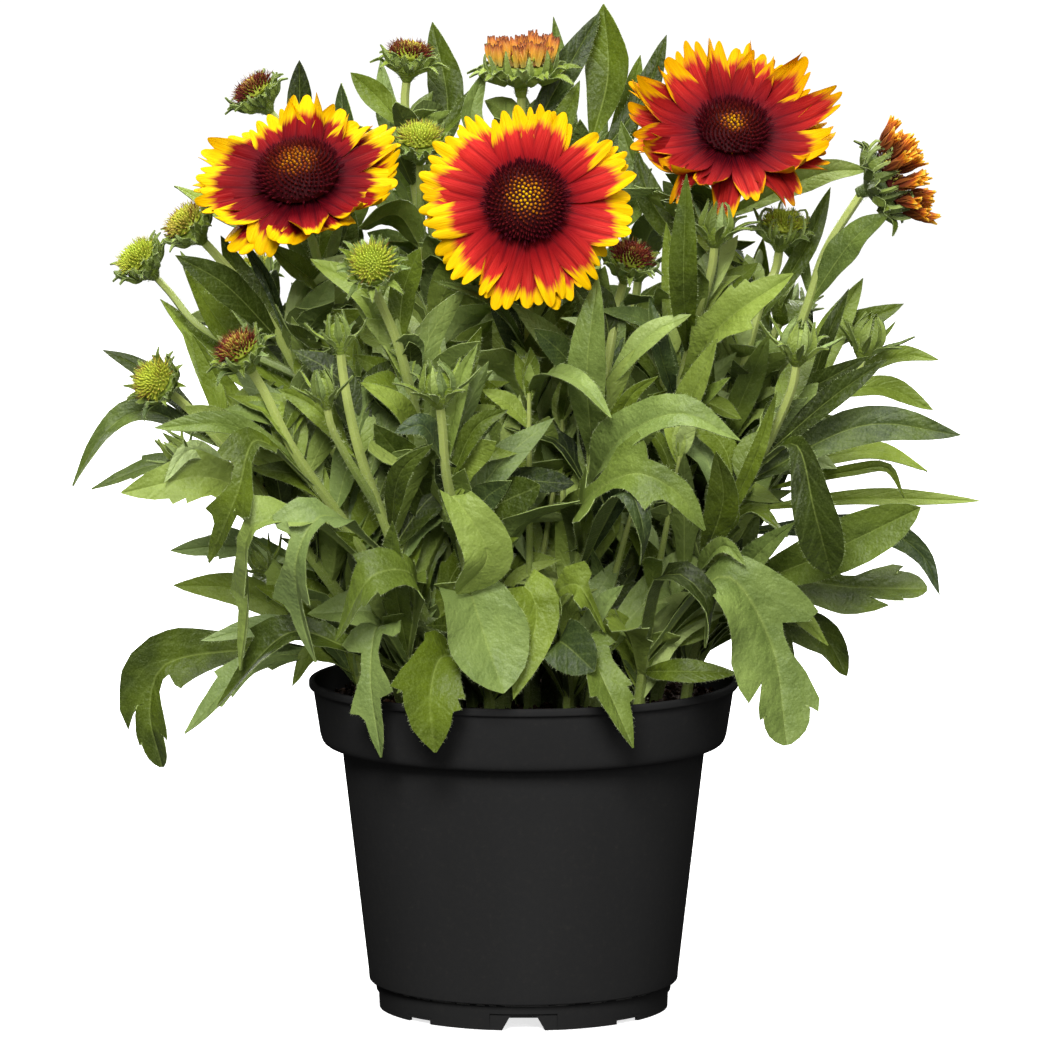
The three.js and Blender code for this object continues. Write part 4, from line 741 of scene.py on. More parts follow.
class Growth:
    """What one piece of the plant is put together from. lay goes to the finish: how far along,
    how far across and which tone, with UNDERSIDE added to the tone on an underside."""

    def __init__(self):
        self.spots, self.lay = [], []
        self.quads, self.quad_finish = [], []
        self.tris, self.tri_finish = [], []
        self.count = 0

    def add(self, spots, quads, tris, lay, finish=0):
        self.spots.append(spots)
        self.lay.append(np.broadcast_to(lay, spots.shape))
        self.quads.append(quads + self.count)
        self.tris.append(tris + self.count)
        self.quad_finish.append(np.full(len(quads), finish))
        self.tri_finish.append(np.full(len(tris), finish))
        self.count += len(spots)

    def add_copies(self, spots, tris, lay, finish=0):
        """Copies of one shape: spots has one row of points for each of them."""
        count, each = spots.shape[:2]
        tris = (tris[None] + each * np.arange(count)[:, None, None]).reshape(-1, 3)
        self.add(spots.reshape(-1, 3), NO_QUADS, tris, lay, finish)

    def make(self, name, finishes, nodes=(), angle=50):
        mesh = bpy.data.meshes.new(name)
        spots = np.concatenate(self.spots) * MM
        faces = np.concatenate(self.quads).tolist() + np.concatenate(self.tris).tolist()
        mesh.from_pydata(spots.tolist(), [], faces)
        which = np.concatenate(self.quad_finish + self.tri_finish).astype(np.int32)
        for finish in finishes:
            mesh.materials.append(finish)
        mesh.polygons.foreach_set("material_index", which)
        lay = mesh.attributes.new("lay", "FLOAT_VECTOR", "POINT")
        lay.data.foreach_set("vector", np.concatenate(self.lay).astype(np.float32).ravel())
        piece = bpy.data.objects.new(name, mesh)
        scene.collection.objects.link(piece)
        hand_in(piece, nodes, angle)


def add_hairs(growth, roots, ways, length, thick, draw, finish=2):
    """Fine hairs: slivers that stand out from their roots."""
    count = len(roots)
    if not count:
        return
    ways = unit(ways + draw.normal(0, 0.28, (count, 3)))
    long = length * draw.uniform(0.55, 1.25, (count, 1))
    side = unit(np.cross(ways, draw.normal(0, 1, (count, 3))))
    other = np.cross(ways, side)
    base = [roots - ways * 0.1 + thick * (math.cos(t) * side + math.sin(t) * other)
            for t in (0, FULL_TURN / 3, FULL_TURN * 2 / 3)]
    bend = np.array([0, 0, -0.12]) * long
    lay = np.tile(np.array([[0, 0.5, 0.5]] * 3 + [[1, 0.5, 0.5]]), (count, 1))
    growth.add_copies(np.stack(base + [roots + ways * long + bend], axis=1), HAIR_TRIS, lay, finish)


def tube_faces(rings, sides):
    """Faces of a row of rings, closed at both ends by a point. The two points come last."""
    around = np.arange(sides)
    ahead = (around + 1) % sides
    a, b = (np.arange(rings - 1)[:, None] * sides + way[None] for way in (around, ahead))
    quads = np.stack([a, b, b + sides, a + sides], axis=-1).reshape(-1, 4)
    last, foot = (rings - 1) * sides, rings * sides
    lower = np.stack([np.full(sides, foot), ahead, around], axis=1)
    upper = np.stack([np.full(sides, foot + 1), last + around, last + ahead], axis=1)
    return quads, np.concatenate([lower, upper])


def add_lathe(growth, put, profile, sides, tone, finish=0):
    """A turned body, closed at both ends by a point on its axis."""
    turn = np.arange(sides) * FULL_TURN / sides
    rings = [polar(radius, turn, height) for radius, height in profile[1:-1]]
    spots = np.concatenate(rings + [[(0, 0, profile[0][1])], [(0, 0, profile[-1][1])]])
    high = (spots[:, 2] - spots[:, 2].min()) / max(np.ptp(spots[:, 2]), 1e-6)
    lay = np.stack([high, np.full(len(spots), 0.3), np.full(len(spots), tone)], axis=1)
    growth.add(put(spots), *tube_faces(len(rings), sides), lay, finish)


STEM_SIDES = 10
HAIRS_A_MM = 3.6


def add_stem(growth, rib, foot, neck, draw, hairs=HAIRS_A_MM):
    """A stem, round with faint ribs, and its fine hairs."""
    tone = draw.uniform(0, 1)
    rings = max(6, round(rib.length / 4)) + 1
    along = np.linspace(0, 1, rings)
    centre, ahead = rib.at(along), rib.ahead(along)
    side = np.array([1.0, 0, 0])
    sides = []
    for way in ahead:
        side = unit(side - np.dot(side, way) * way)
        sides.append(side)
    sides = np.array(sides)
    other = np.cross(ahead, sides)
    radius = foot + (neck - foot) * along
    turn = np.arange(STEM_SIDES) * FULL_TURN / STEM_SIDES
    ribbed = 1 + 0.05 * np.cos(turn * 5)
    spots = (centre[:, None] + radius[:, None, None] * ribbed[None, :, None]
             * (np.cos(turn)[None, :, None] * sides[:, None] + np.sin(turn)[None, :, None] * other[:, None]))
    lay = np.stack([np.repeat(along, STEM_SIDES), np.tile(np.arange(STEM_SIDES) / STEM_SIDES, rings),
                    np.full(rings * STEM_SIDES, tone)], axis=1)
    spots = np.concatenate([spots.reshape(-1, 3), centre[:1], centre[-1:]])
    lay = np.concatenate([lay, [[0, 0.5, tone]], [[1, 0.5, tone]]])
    growth.add(spots, *tube_faces(rings, STEM_SIDES), lay, 1)
    count = int(rib.length * hairs)
    where = draw.uniform(0.08, 1, count)
    angle = draw.uniform(0, FULL_TURN, (count, 1))
    s, o = (np.stack([np.interp(where, along, v[:, k]) for k in range(3)], axis=1) for v in (sides, other))
    out = unit(np.cos(angle) * s + np.sin(angle) * o)
    roots = rib.at(where) + out * np.interp(where, along, radius)[:, None]
    add_hairs(growth, roots, out, 1.8, 0.055, draw)


def add_blade(growth, blank, points, width, face, draw, tone, fold=None, wave=None, twist=None,
              hairs=1.0, sink=0.5):
    """One leaf, laid along its midrib: folded a little, waved at its edges and twisted."""
    points = np.array(points, float)
    rib = Rib(points, 60)
    fold = draw.uniform(0.12, 0.7) if fold is None else fold
    wave = draw.uniform(0.03, 0.12) if wave is None else wave
    twist = draw.uniform(-0.6, 0.6) if twist is None else twist
    x, y, z = blank.spots.T
    along = np.clip(y, 0, 1)
    centre, ahead = rib.at(along), rib.ahead(along)
    across = unit(np.cross(points[-1] - points[0], np.asarray(face, float)))
    side = unit(across - np.sum(across * ahead, axis=1, keepdims=True) * ahead)
    above = np.cross(side, ahead)
    angle = (twist * along)[:, None]
    side, above = side * np.cos(angle) + above * np.sin(angle), above * np.cos(angle) - side * np.sin(angle)
    half = width / 2
    bend = fold * (1 - 0.55 * along)
    phase = draw.uniform(0, FULL_TURN)
    waves = np.sin(FULL_TURN * 2.3 * along + phase + np.where(x > 0, 1.9, 0)) * x * x * wave * width
    waves = waves * np.sin(math.pi * np.clip(along * 1.02, 0, 1)) ** 0.5
    out = x * half * np.cos(bend)
    up = np.abs(x) * half * np.sin(bend) + waves + z - sink
    spots = centre + side * out[:, None] + above * up[:, None]
    below = np.where(z < -0.12 - GROOVE * (np.abs(x) < 0.05), UNDERSIDE, 0.0)
    growth.add(spots, blank.quads, blank.tris, np.stack([along, x * 0.5 + 0.5, tone + below], axis=1))
    for edge, way in ((blank.left, -1), (blank.right, 1)) if hairs else ():
        count = int(rib.length * hairs * 1.4)
        spot = draw.uniform(1, len(edge) - 2.2, count)
        low = spot.astype(int)
        share = (spot - low)[:, None]
        a, b = edge[low], edge[low + 1]
        roots = spots[a] * (1 - share) + spots[b] * share
        ways = way * side[a] + 0.5 * ahead[a] + above[a] * draw.uniform(-0.3, 0.6, (count, 1))
        add_hairs(growth, roots, ways, 0.95, 0.04, draw)


# ------------------------------------------------------------------ where the leaves stand

# Rows of each outline of the solid model: along, left share, right share, sweep.
SOLID_OUTLINES = {
    "lance": [[0.6, 1, 1, 0], [0.84, 0.6, 0.6, 0]],
    "spoon": [[0.7, 1, 1, 0], [0.9, 0.72, 0.72, 0]],
    "toothed": [[0.44, 1, 0.62, 0.07], [0.66, 0.66, 1, 0.07], [0.86, 0.44, 0.44, 0]],
    "cut": [[0.36, 0.95, 0.25, 0.09], [0.66, 0.95, 0.4, 0.08], [0.86, 0.3, 0.3, 0]],
    "ribbon": [[0.4, 0.95, 0.95, 0], [0.75, 1, 0.9, 0]],
    "grown": [[0.42, 0.92, 0.92, 0], [0.76, 0.82, 0.82, 0]],
}
# How leaves of the solid model were bent back, up and across, or turned and lifted in degrees,
# until they stood clear of each other. The try that fits the solid best is the one that was kept.
BENDS = [
    (0, 0, 0), (-5, 0, 0), (5, 0, 0), (-10, 0, 0), (10, 0, 0), (-16, 0, 0), (16, 0, 0), (0, 5, 0),
    (0, -5, 0), (-8, 5, 0), (8, 5, 0), (-8, -5, 0), (8, -5, 0), (-24, 0, 0), (24, 0, 0), (0, 3, 6),
    (0, 3, -6), (-12, -3, 6), (12, -3, -6), (12, 3, 6), (-12, 3, -6), (-34, 0, 0), (34, 0, 0),
]
TURNS = [
    (0, 0), (16, 0), (-16, 0), (0, 14), (0, -14), (32, 0), (-32, 0), (16, 14), (-16, 14), (16, -14),
    (-16, -14), (48, 8), (-48, 8), (30, -22), (-30, -22), (0, 28), (64, 0), (-64, 0), (90, 20), (-90, 20),
]
HAND_FACE = np.array([0, -0.88, 0.47])
FURTHEST_MISS = 1.2


def blade_marks(points, width, outline, face):
    """The edge points and the tip of a leaf of the solid model."""
    rib = Rib(points, 24)
    across = unit(np.cross(points[-1] - points[0], face))
    spots = [points[-1]]
    for along, left, right, sweep in SOLID_OUTLINES[outline]:
        centre, ahead = rib.at([along])[0], rib.ahead([along])[0]
        side = unit(across - np.dot(across, ahead) * ahead)
        for share, way in ((left, -1), (right, 1)):
            swept = ahead * sweep * rib.length * max(0, share - 0.5)
            spots.append(centre + side * way * width / 2 * share + swept)
    return spots


def surface_of(*nodes):
    spots, faces = [], []
    for node in nodes:
        first = len(spots)
        spots += [v.co / MM for v in node.data.vertices]
        faces += [tuple(first + i for i in f.vertices) for f in node.data.polygons]
    return BVHTree.FromPolygons(spots, faces)


def miss(surface, spots):
    """How far a few points lie from the solid leaf, on average."""
    far = [surface.find_nearest(Vector(spot))[3] for spot in spots]
    return sum(far) / len(far)


def bent_points(root, way, bend):
    back, up, across = bend
    spots = [root]
    for i, (x, z, y) in enumerate(way):
        share = (i + 1) / len(way)
        spots.append(place((x + across * share, z + up * share, y + back * share)))
    return np.array(spots)


def arch_points(root, heading, rise, length, fall):
    """A leaf that rises from its root and then bends down."""
    out = polar(1, heading, 0)
    middle = root + (out * math.cos(rise) + UP * math.sin(rise)) * length / 2
    end = middle + (out * math.cos(rise - fall) + UP * math.sin(rise - fall)) * length / 2
    return np.array([root, middle, end])


def arch_face(heading, lean):
    return np.array([math.cos(heading) * 0.3, math.sin(heading) * 0.3 + lean, 1])


def grown_tries(stem, rib):
    """The leaves that were not set by hand, each with its width and the ways it can stand."""
    seed, low, high, count, long = stem["grown"]
    roll = dice(seed)
    middle = rib.through([0.5])[0]
    outward = math.atan2(middle[1], middle[0])
    for i in range(count):
        share = i / (count - 1) if count > 1 else 0
        heading = outward + (math.fmod(i * GOLDEN_ANGLE + roll() * 0.6, FULL_TURN) - math.pi) * 0.62
        rise = 0.75 + 0.5 * roll()
        fall = 0.6 + 0.8 * roll()
        width = (14 + 5 * roll()) * (1 - 0.25 * share)
        length = long * (1 - 0.3 * share) * (0.85 + 0.3 * roll())
        lean = (1 if middle[1] > 12 else -1) * (0.4 + 1.2 * roll())
        root = rib.at_height(low + (high - low) * share)
        tries = []
        for turn, lift in TURNS:
            way = heading + math.radians(turn)
            points = arch_points(root, way, rise + math.radians(lift), length, fall)
            tries.append((points, arch_face(way, lean)))
        yield tries, "grown", width


def leaf_spots(stem, rib):
    """Every leaf of a stem as it stands in the solid model: points, face, outline and width."""
    surface = surface_of(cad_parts[stem["name"]])
    found = []
    for height, outline, width, *way in stem["leaves"]:
        root = rib.at_height(height)
        found.append(([(bent_points(root, way, bend), HAND_FACE) for bend in BENDS], outline, width))
    for tries, outline, width in found + list(grown_tries(stem, rib)):
        misses = [miss(surface, blade_marks(points, width, outline, face)) for points, face in tries]
        best = int(np.argmin(misses))
        if misses[best] < FURTHEST_MISS:
            yield (*tries[best], outline, width)
        elif outline != "grown":
            yield (*tries[0], outline, width)


# ------------------------------------------------------------------ finishes

class Value:
    """What a node gives out. To reckon with it like a number adds the nodes that reckon."""

    def __init__(self, finish, socket):
        self.finish = finish
        self.socket = socket

    def sum_of(operation, swapped=False):
        def reckon(self, *other):
            return self.finish.math(operation, *((*other, self) if swapped else (self, *other)))
        return reckon

    __add__ = sum_of("ADD")
    __radd__ = sum_of("ADD", swapped=True)
    __sub__ = sum_of("SUBTRACT")
    __rsub__ = sum_of("SUBTRACT", swapped=True)
    __mul__ = sum_of("MULTIPLY")
    __truediv__ = sum_of("DIVIDE")
    __pow__ = sum_of("POWER")
    __gt__ = sum_of("GREATER_THAN")
    __abs__ = sum_of("ABSOLUTE")
    larger = sum_of("MAXIMUM")
    sine = sum_of("SINE")
    fract = sum_of("FRACT")

    def clamp(self):
        self.socket.node.use_clamp = True
        return self


class Finish:
    """A material whose nodes are put together step by step. Colours of three numbers are screen
    colours, and those of four are given to the nodes as they are."""

    def __init__(self, name, roughness=0.6, shine=0.3):
        self.material = bpy.data.materials.new(name)
        self.material.use_nodes = True
        self.tree = self.material.node_tree
        self.shader = preset(self.tree.nodes["Principled BSDF"],
                             {"Roughness": roughness, "Specular IOR Level": shine})

    def node(self, kind, inputs=(), **settings):
        node = self.tree.nodes.new(kind)
        for key, value in settings.items():
            setattr(node, key, value)
        for key, value in dict(inputs).items():
            self.feed(node.inputs[key], value)
        return node

    def feed(self, socket, value):
        if isinstance(value, Value):
            self.tree.links.new(value.socket, socket)
        else:
            socket.default_value = colour(*value) if isinstance(value, tuple) and len(value) == 3 else value

    def add(self, kind, inputs=(), out=0, **settings):
        return Value(self, self.node(kind, inputs, **settings).outputs[out])

    def math(self, operation, *values):
        return self.add("ShaderNodeMath", enumerate(values), operation=operation)

    def mix(self, share, one, other, blend="MIX"):
        return self.add("ShaderNodeMix", {0: share, 6: one, 7: other}, 2, data_type="RGBA", blend_type=blend)

    def ramp(self, value, stops):
        ramp = self.add("ShaderNodeValToRGB", {0: value})
        band = ramp.socket.node.color_ramp
        while len(band.elements) < len(stops):
            band.elements.new(0.5)
        for element, (spot, shade) in zip(band.elements, stops.items()):
            element.position = spot
            element.color = colour(*shade) if isinstance(shade, tuple) else (shade, shade, shade, 1)
        return ramp

    def object_place(self):
        return self.add("ShaderNodeTexCoord", out="Object")

    def split(self, vector):
        return [Value(self, socket) for socket in self.node("ShaderNodeSeparateXYZ", {0: vector}).outputs]

    def lay(self):
        """How far along, how far across, the tone, and 1 on an underside."""
        along, across, tone = self.split(self.add("ShaderNodeAttribute", out="Vector", attribute_name="lay"))
        under = tone > UNDERSIDE - 0.5
        return along, across, tone - under * UNDERSIDE, under

    def noise(self, vector, scale, detail=2.0, rough=0.5):
        inputs = {"Vector": vector, "Scale": scale, "Detail": detail, "Roughness": rough}
        return self.add("ShaderNodeTexNoise", inputs)

    def join(self, *parts):
        return self.add("ShaderNodeCombineXYZ", enumerate(parts))

    def bump(self, height, strength, distance, below=None):
        inputs = {"Height": height, "Strength": strength, "Distance": distance}
        return self.add("ShaderNodeBump", {**inputs, "Normal": below} if below else inputs)

    def show(self, shade, normal=None):
        self.feed(self.shader.inputs["Base Color"], shade)
        if normal:
            self.feed(self.shader.inputs["Normal"], normal)
        return self.material


def leaf_finish():
    f = Finish("leaf_green", 0.45, 0.25)
    along, across, tone, under = f.lay()
    spot = f.object_place()
    shade = tone + (f.noise(spot, 60, 3) - 0.5) * 0.45
    green = f.ramp(shade, {0: (14, 22, 0), 0.22: (46, 60, 0), 0.45: (92, 109, 16),
                           0.65: (130, 148, 60), 0.84: (154, 171, 90), 1: (170, 187, 114)})
    hue = (tone * 31.7).fract()
    green = f.mix(((hue - 0.6) * 2.0).clamp(), green, (0.92, 0.94, 0.4, 1), "MULTIPLY")
    green = f.mix(((0.4 - hue) * (tone * 3.6)).clamp(), green, (0, 0.012, 0.06, 1), "ADD")
    side = abs(across - 0.5) * 2.0
    veins = (((along - side * 0.2) * 56.0).sine() + 1.0) * 0.5
    veins = veins ** 7.0
    green = f.mix(veins * 0.06, green, (150, 170, 90))
    down = f.noise(spot, 1500, 2, 0.6) ** 3.0
    green = f.mix((down * (0.14 + tone * 0.9)).clamp(), green, (172, 190, 108))
    green = f.mix(under * 0.4, green, (118, 134, 72))
    midrib = (1.0 - side / 0.055).clamp() * (0.62 - along * 0.5)
    green = f.mix(midrib, green, (164, 180, 96))
    quilt = f.bump(f.noise(spot, 800, 3) - veins * 0.22, 0.7, 0.0006)
    return f.show(green, f.bump(f.noise(spot, 150, 2), 0.75, 0.0016, quilt))


def stem_finish():
    f = Finish("stem_green", 0.5, 0.35)
    preset(f.shader, {"Sheen Weight": 0.1, "Sheen Roughness": 0.5, "Sheen Tint": colour(236, 240, 214)})
    along, across, tone, _ = f.lay()
    spot = f.object_place()
    streak = f.noise(f.join(across * 9.0, along * 5.0, tone), 1.0, 3)
    shade = along * 0.75 + streak * 0.3
    green = f.ramp(shade, {0.1: (78, 98, 24), 0.5: (124, 144, 50), 0.95: (176, 188, 96)})
    down = f.noise(spot, 1800, 2, 0.6) ** 3.0
    return f.show(f.mix((down * 0.8).clamp(), green, (206, 212, 160)), f.bump(streak, 0.3, 0.0004))


def hair_finish():
    f = Finish("hair_pale", 0.5, 0.3)
    return f.show(f.ramp(f.lay()[0], {0: (160, 178, 110), 1: (214, 222, 178)}))


def petal_finish(name, heart, red, bright, pale, edge, rim, border, skirt=0.17, deep=1.0, mottle=0.2):
    """Red as far as the border, which runs back at the sides by the skirt, and yellow beyond it."""
    f = Finish(name, 0.62, 0.06)
    along, across, tone, under = f.lay()
    v = across - 0.5
    shift = tone * 37.0
    streak = f.noise(f.join(v * 24.0 + shift, along * 1.6, shift), 1.0, 2)
    broad = f.noise(f.join(v * 7.0 + shift, along, shift), 1.0, 1)
    fine = f.noise(f.join(v * 70.0 + shift, along * 3.0, shift), 1.0, 1)
    side = abs(v) * 2.0
    line = border - side ** 2.2 * skirt
    line = line + (streak - 0.5) * 0.2 + (broad - 0.5) * 0.24 + (tone - 0.5) * 0.14
    over = ((along - line) * 10.0).clamp()
    inner = f.ramp(along + (fine - 0.5) * 0.3, {0.16 * deep: heart, 0.36 * deep: red, 0.64 * deep: bright})
    # Painted shade: a dark line along each of the two pleats of the petal, in the creases where shade falls,
    # and the rim colour along them in the yellow.
    groove = (1.0 - abs(abs(v) - 0.16) * 22.0).clamp()
    inner = f.mix(groove * 0.55, inner, heart)
    inner = f.mix((fine > 0.55) * 0.4, inner, red)
    # Painted highlight: pale pinkish streaks along the ridges, stronger towards the petal's end.
    light = ((streak * along ** 0.6 - 0.4) * 2.2).clamp()
    inner = f.mix(light * 0.7, inner, pale)
    dark = (((tone * 7.3).fract() - 0.5) * 2.0).clamp()
    inner = f.mix(dark * mottle, inner, heart)
    # Painted shade: the red darkens towards each petal's side edges, as if shaded by the petals beside it,
    # and the yellow takes the deeper rim colour there.
    edge_shade = ((side - 0.74) * 3.2).clamp()
    inner = f.mix(edge_shade * 0.6, inner, heart)
    outer = f.mix((1.0 - fine) * 0.7, edge, rim)
    outer = f.mix(groove.larger(edge_shade) * 0.5, outer, rim)
    shade = f.mix(under * (along * 0.75), f.mix(over, inner, outer), rim)
    return f.show(shade, f.bump(fine + streak * 0.9, 0.6, 0.0006))


def floret_finish(name, shine, tip_stops, foot_stops, by_tone):
    """Florets whose foot and tip take their colours from the tone, or from the place on the disc."""
    f = Finish(name, 0.6, shine)
    along, across, tone, _ = f.lay()
    if by_tone:
        tips, foot = f.ramp(tone, tip_stops), f.ramp(tone, foot_stops)
    else:
        tips, foot = f.ramp(along + (tone - 0.5) * 0.16, tip_stops), f.ramp(along, foot_stops)
    # Painted shade: each floret darkens from its tip down to its foot, as if shaded deep between the
    # florets.
    return f.show(f.mix(across ** 1.3, foot, tips))


def ray_finish(name, stops, rim, share):
    f = Finish(name, 0.6, 0.12)
    along, across, tone, under = f.lay()
    shift = tone * 23.0
    streak = f.noise(f.join(across * 14.0 + shift, along * 2.0, shift), 1.0, 2)
    shade = f.ramp(along + (streak - 0.5) * 0.6, stops)
    edge = abs(across - 0.5) * 2.0
    shade = f.mix(edge ** 2.0 * (along ** 2.0 * share), shade, rim)
    return f.show(f.mix(under * 0.12, shade, (214, 134, 60)), f.bump(streak, 0.4, 0.0004))


def pot_finish():
    f = Finish("pot_plastic", 0.5, 0.0)
    spot = f.object_place()
    x, y, z = f.split(spot)
    grain = f.noise(spot, 1400, 3)
    cloud = f.noise(f.join(x, y, z * 0.25), 26, 3)
    black = f.mix(cloud, (37, 37, 37), (43, 43, 43))
    # A pale grey line, in patches, round the pot at 10.2 mm high, along the edge where the base ring meets
    # the body.
    line = (1.0 - abs(z - 0.0102) / 0.0006).clamp()
    patchy = f.noise(spot, 160, 3) > 0.47
    black = f.mix(line * patchy * 0.5, black, (150, 150, 146))
    dust = (f.noise(spot, 420, 4, 0.7) ** 7.0 * 0.8).clamp()
    f.feed(f.shader.inputs["Roughness"], f.ramp(cloud, {0.3: 0.44, 0.7: 0.56}))
    return f.show(f.mix(dust, black, (84, 78, 70)), f.bump(grain, 0.12, 0.0002))


def soil_finish():
    f = Finish("peat_dark", 0.95, 0.1)
    spot = f.object_place()
    clod = f.noise(spot, 240, 4, 0.65)
    shade = f.ramp(clod, {0.3: (28, 17, 13), 0.52: (58, 38, 28), 0.7: (92, 64, 46)})
    return f.show(shade, f.bump(f.noise(spot, 700, 4, 0.7), 0.9, 0.0015))


GREEN = [leaf_finish(), stem_finish(), hair_finish()]
# The fourth colour of each bloom, the pale one, is the pink of the painted highlight on its petals.
PETALS = {
    "left": petal_finish("petal_crimson", (44, 2, 12), (96, 4, 14), (142, 14, 14), (214, 78, 68),
                         (240, 198, 0), (212, 146, 0), 0.7, 0.22, 1.1, 0.24),
    "middle": petal_finish("petal_red", (62, 2, 12), (142, 12, 18), (198, 40, 34), (230, 96, 80),
                           (240, 198, 0), (222, 154, 0), 0.7),
    "right": petal_finish("petal_wine_red", (48, 2, 12), (114, 8, 16), (172, 32, 26), (230, 98, 80),
                          (236, 184, 0), (206, 120, 0), 0.77, 0.3, 1.05, 0.36),
}
DISC = floret_finish("disc_florets", 0.06, {
    0.06: (220, 176, 4), 0.24: (190, 124, 8), 0.4: (136, 58, 14), 0.56: (108, 28, 20), 0.82: (98, 18, 26),
    1: (80, 12, 26)}, {0.06: (178, 126, 4), 0.3: (112, 56, 8), 0.56: (60, 14, 10), 0.9: (46, 6, 14)}, False)
BUD = floret_finish("bud_florets", 0.15, {
    0.05: (186, 204, 74), 0.35: (214, 218, 76), 0.55: (208, 186, 84), 0.72: (142, 60, 40), 1: (92, 24, 30)},
    {0.2: (134, 150, 36), 0.9: (66, 28, 20)}, True)
RAYS = {
    "top": ray_finish("rays_tan", {0.1: (206, 190, 100), 0.42: (236, 184, 60), 0.68: (224, 156, 62),
                                   0.86: (190, 108, 62), 1: (92, 50, 40)}, (244, 214, 130), 0.9),
    # Dark at the foot of the rays: partly their real maroon base, partly painted shade deep in the opening
    # head.
    "side": ray_finish("rays_orange", {0.1: (56, 8, 16), 0.54: (92, 16, 24), 0.68: (136, 40, 24),
                                       0.8: (194, 92, 14), 0.92: (236, 166, 20), 1: (236, 200, 80)},
                       (240, 170, 30), 0.6),
}

# ------------------------------------------------------------------ blanks

BLANKS = {outline: leaf_blank(outline, BROAD) for outline in LEAF_EDGES if outline != "bract"}
FILL_BLANKS = [leaf_blank(outline, NO_MIDRIB, plain=True)
               for outline in ("slim", "grown", "notched", "spoon")]
RAY_BLANK = leaf_blank("slim", NARROW, 0.35, plain=True)
BRACT = leaf_blank("bract", NARROW, 0.4)
PETAL_BLANKS = [petal_blank(fingers, deep) for fingers, deep in (
    (((-0.68, 0.38, 0.95), (0, 0.38, 1), (0.68, 0.38, 0.95)), 0.25),
    (((-0.66, 0.36, 0.9), (0.02, 0.4, 1), (0.68, 0.36, 0.96)), 0.14),
    (((-0.6, 0.42, 0.98), (0.12, 0.36, 0.95), (0.72, 0.32, 0.86)), 0.3),
    (((-0.5, 0.52, 1), (0.52, 0.5, 0.94)), 0.2))]
FLORET = floret_blank((0.6, 0.52), (0.4, 0.24))
SPIKE = floret_blank((0.62, 0.44), (0.38, 0.1))
CRUMB = crumb_blank()

# ------------------------------------------------------------------ heads

# How pale the calyx of each head is, from 0 to 1, and where that is not the same for all.
CALYX_TONE = 0.56
CALYX_TONES = {"side": 0.26, "top": 0.66}
# The heads whose inner bracts curl in over them.
CURLED = ("stem_right_curled_bud", "stem_side_bud")


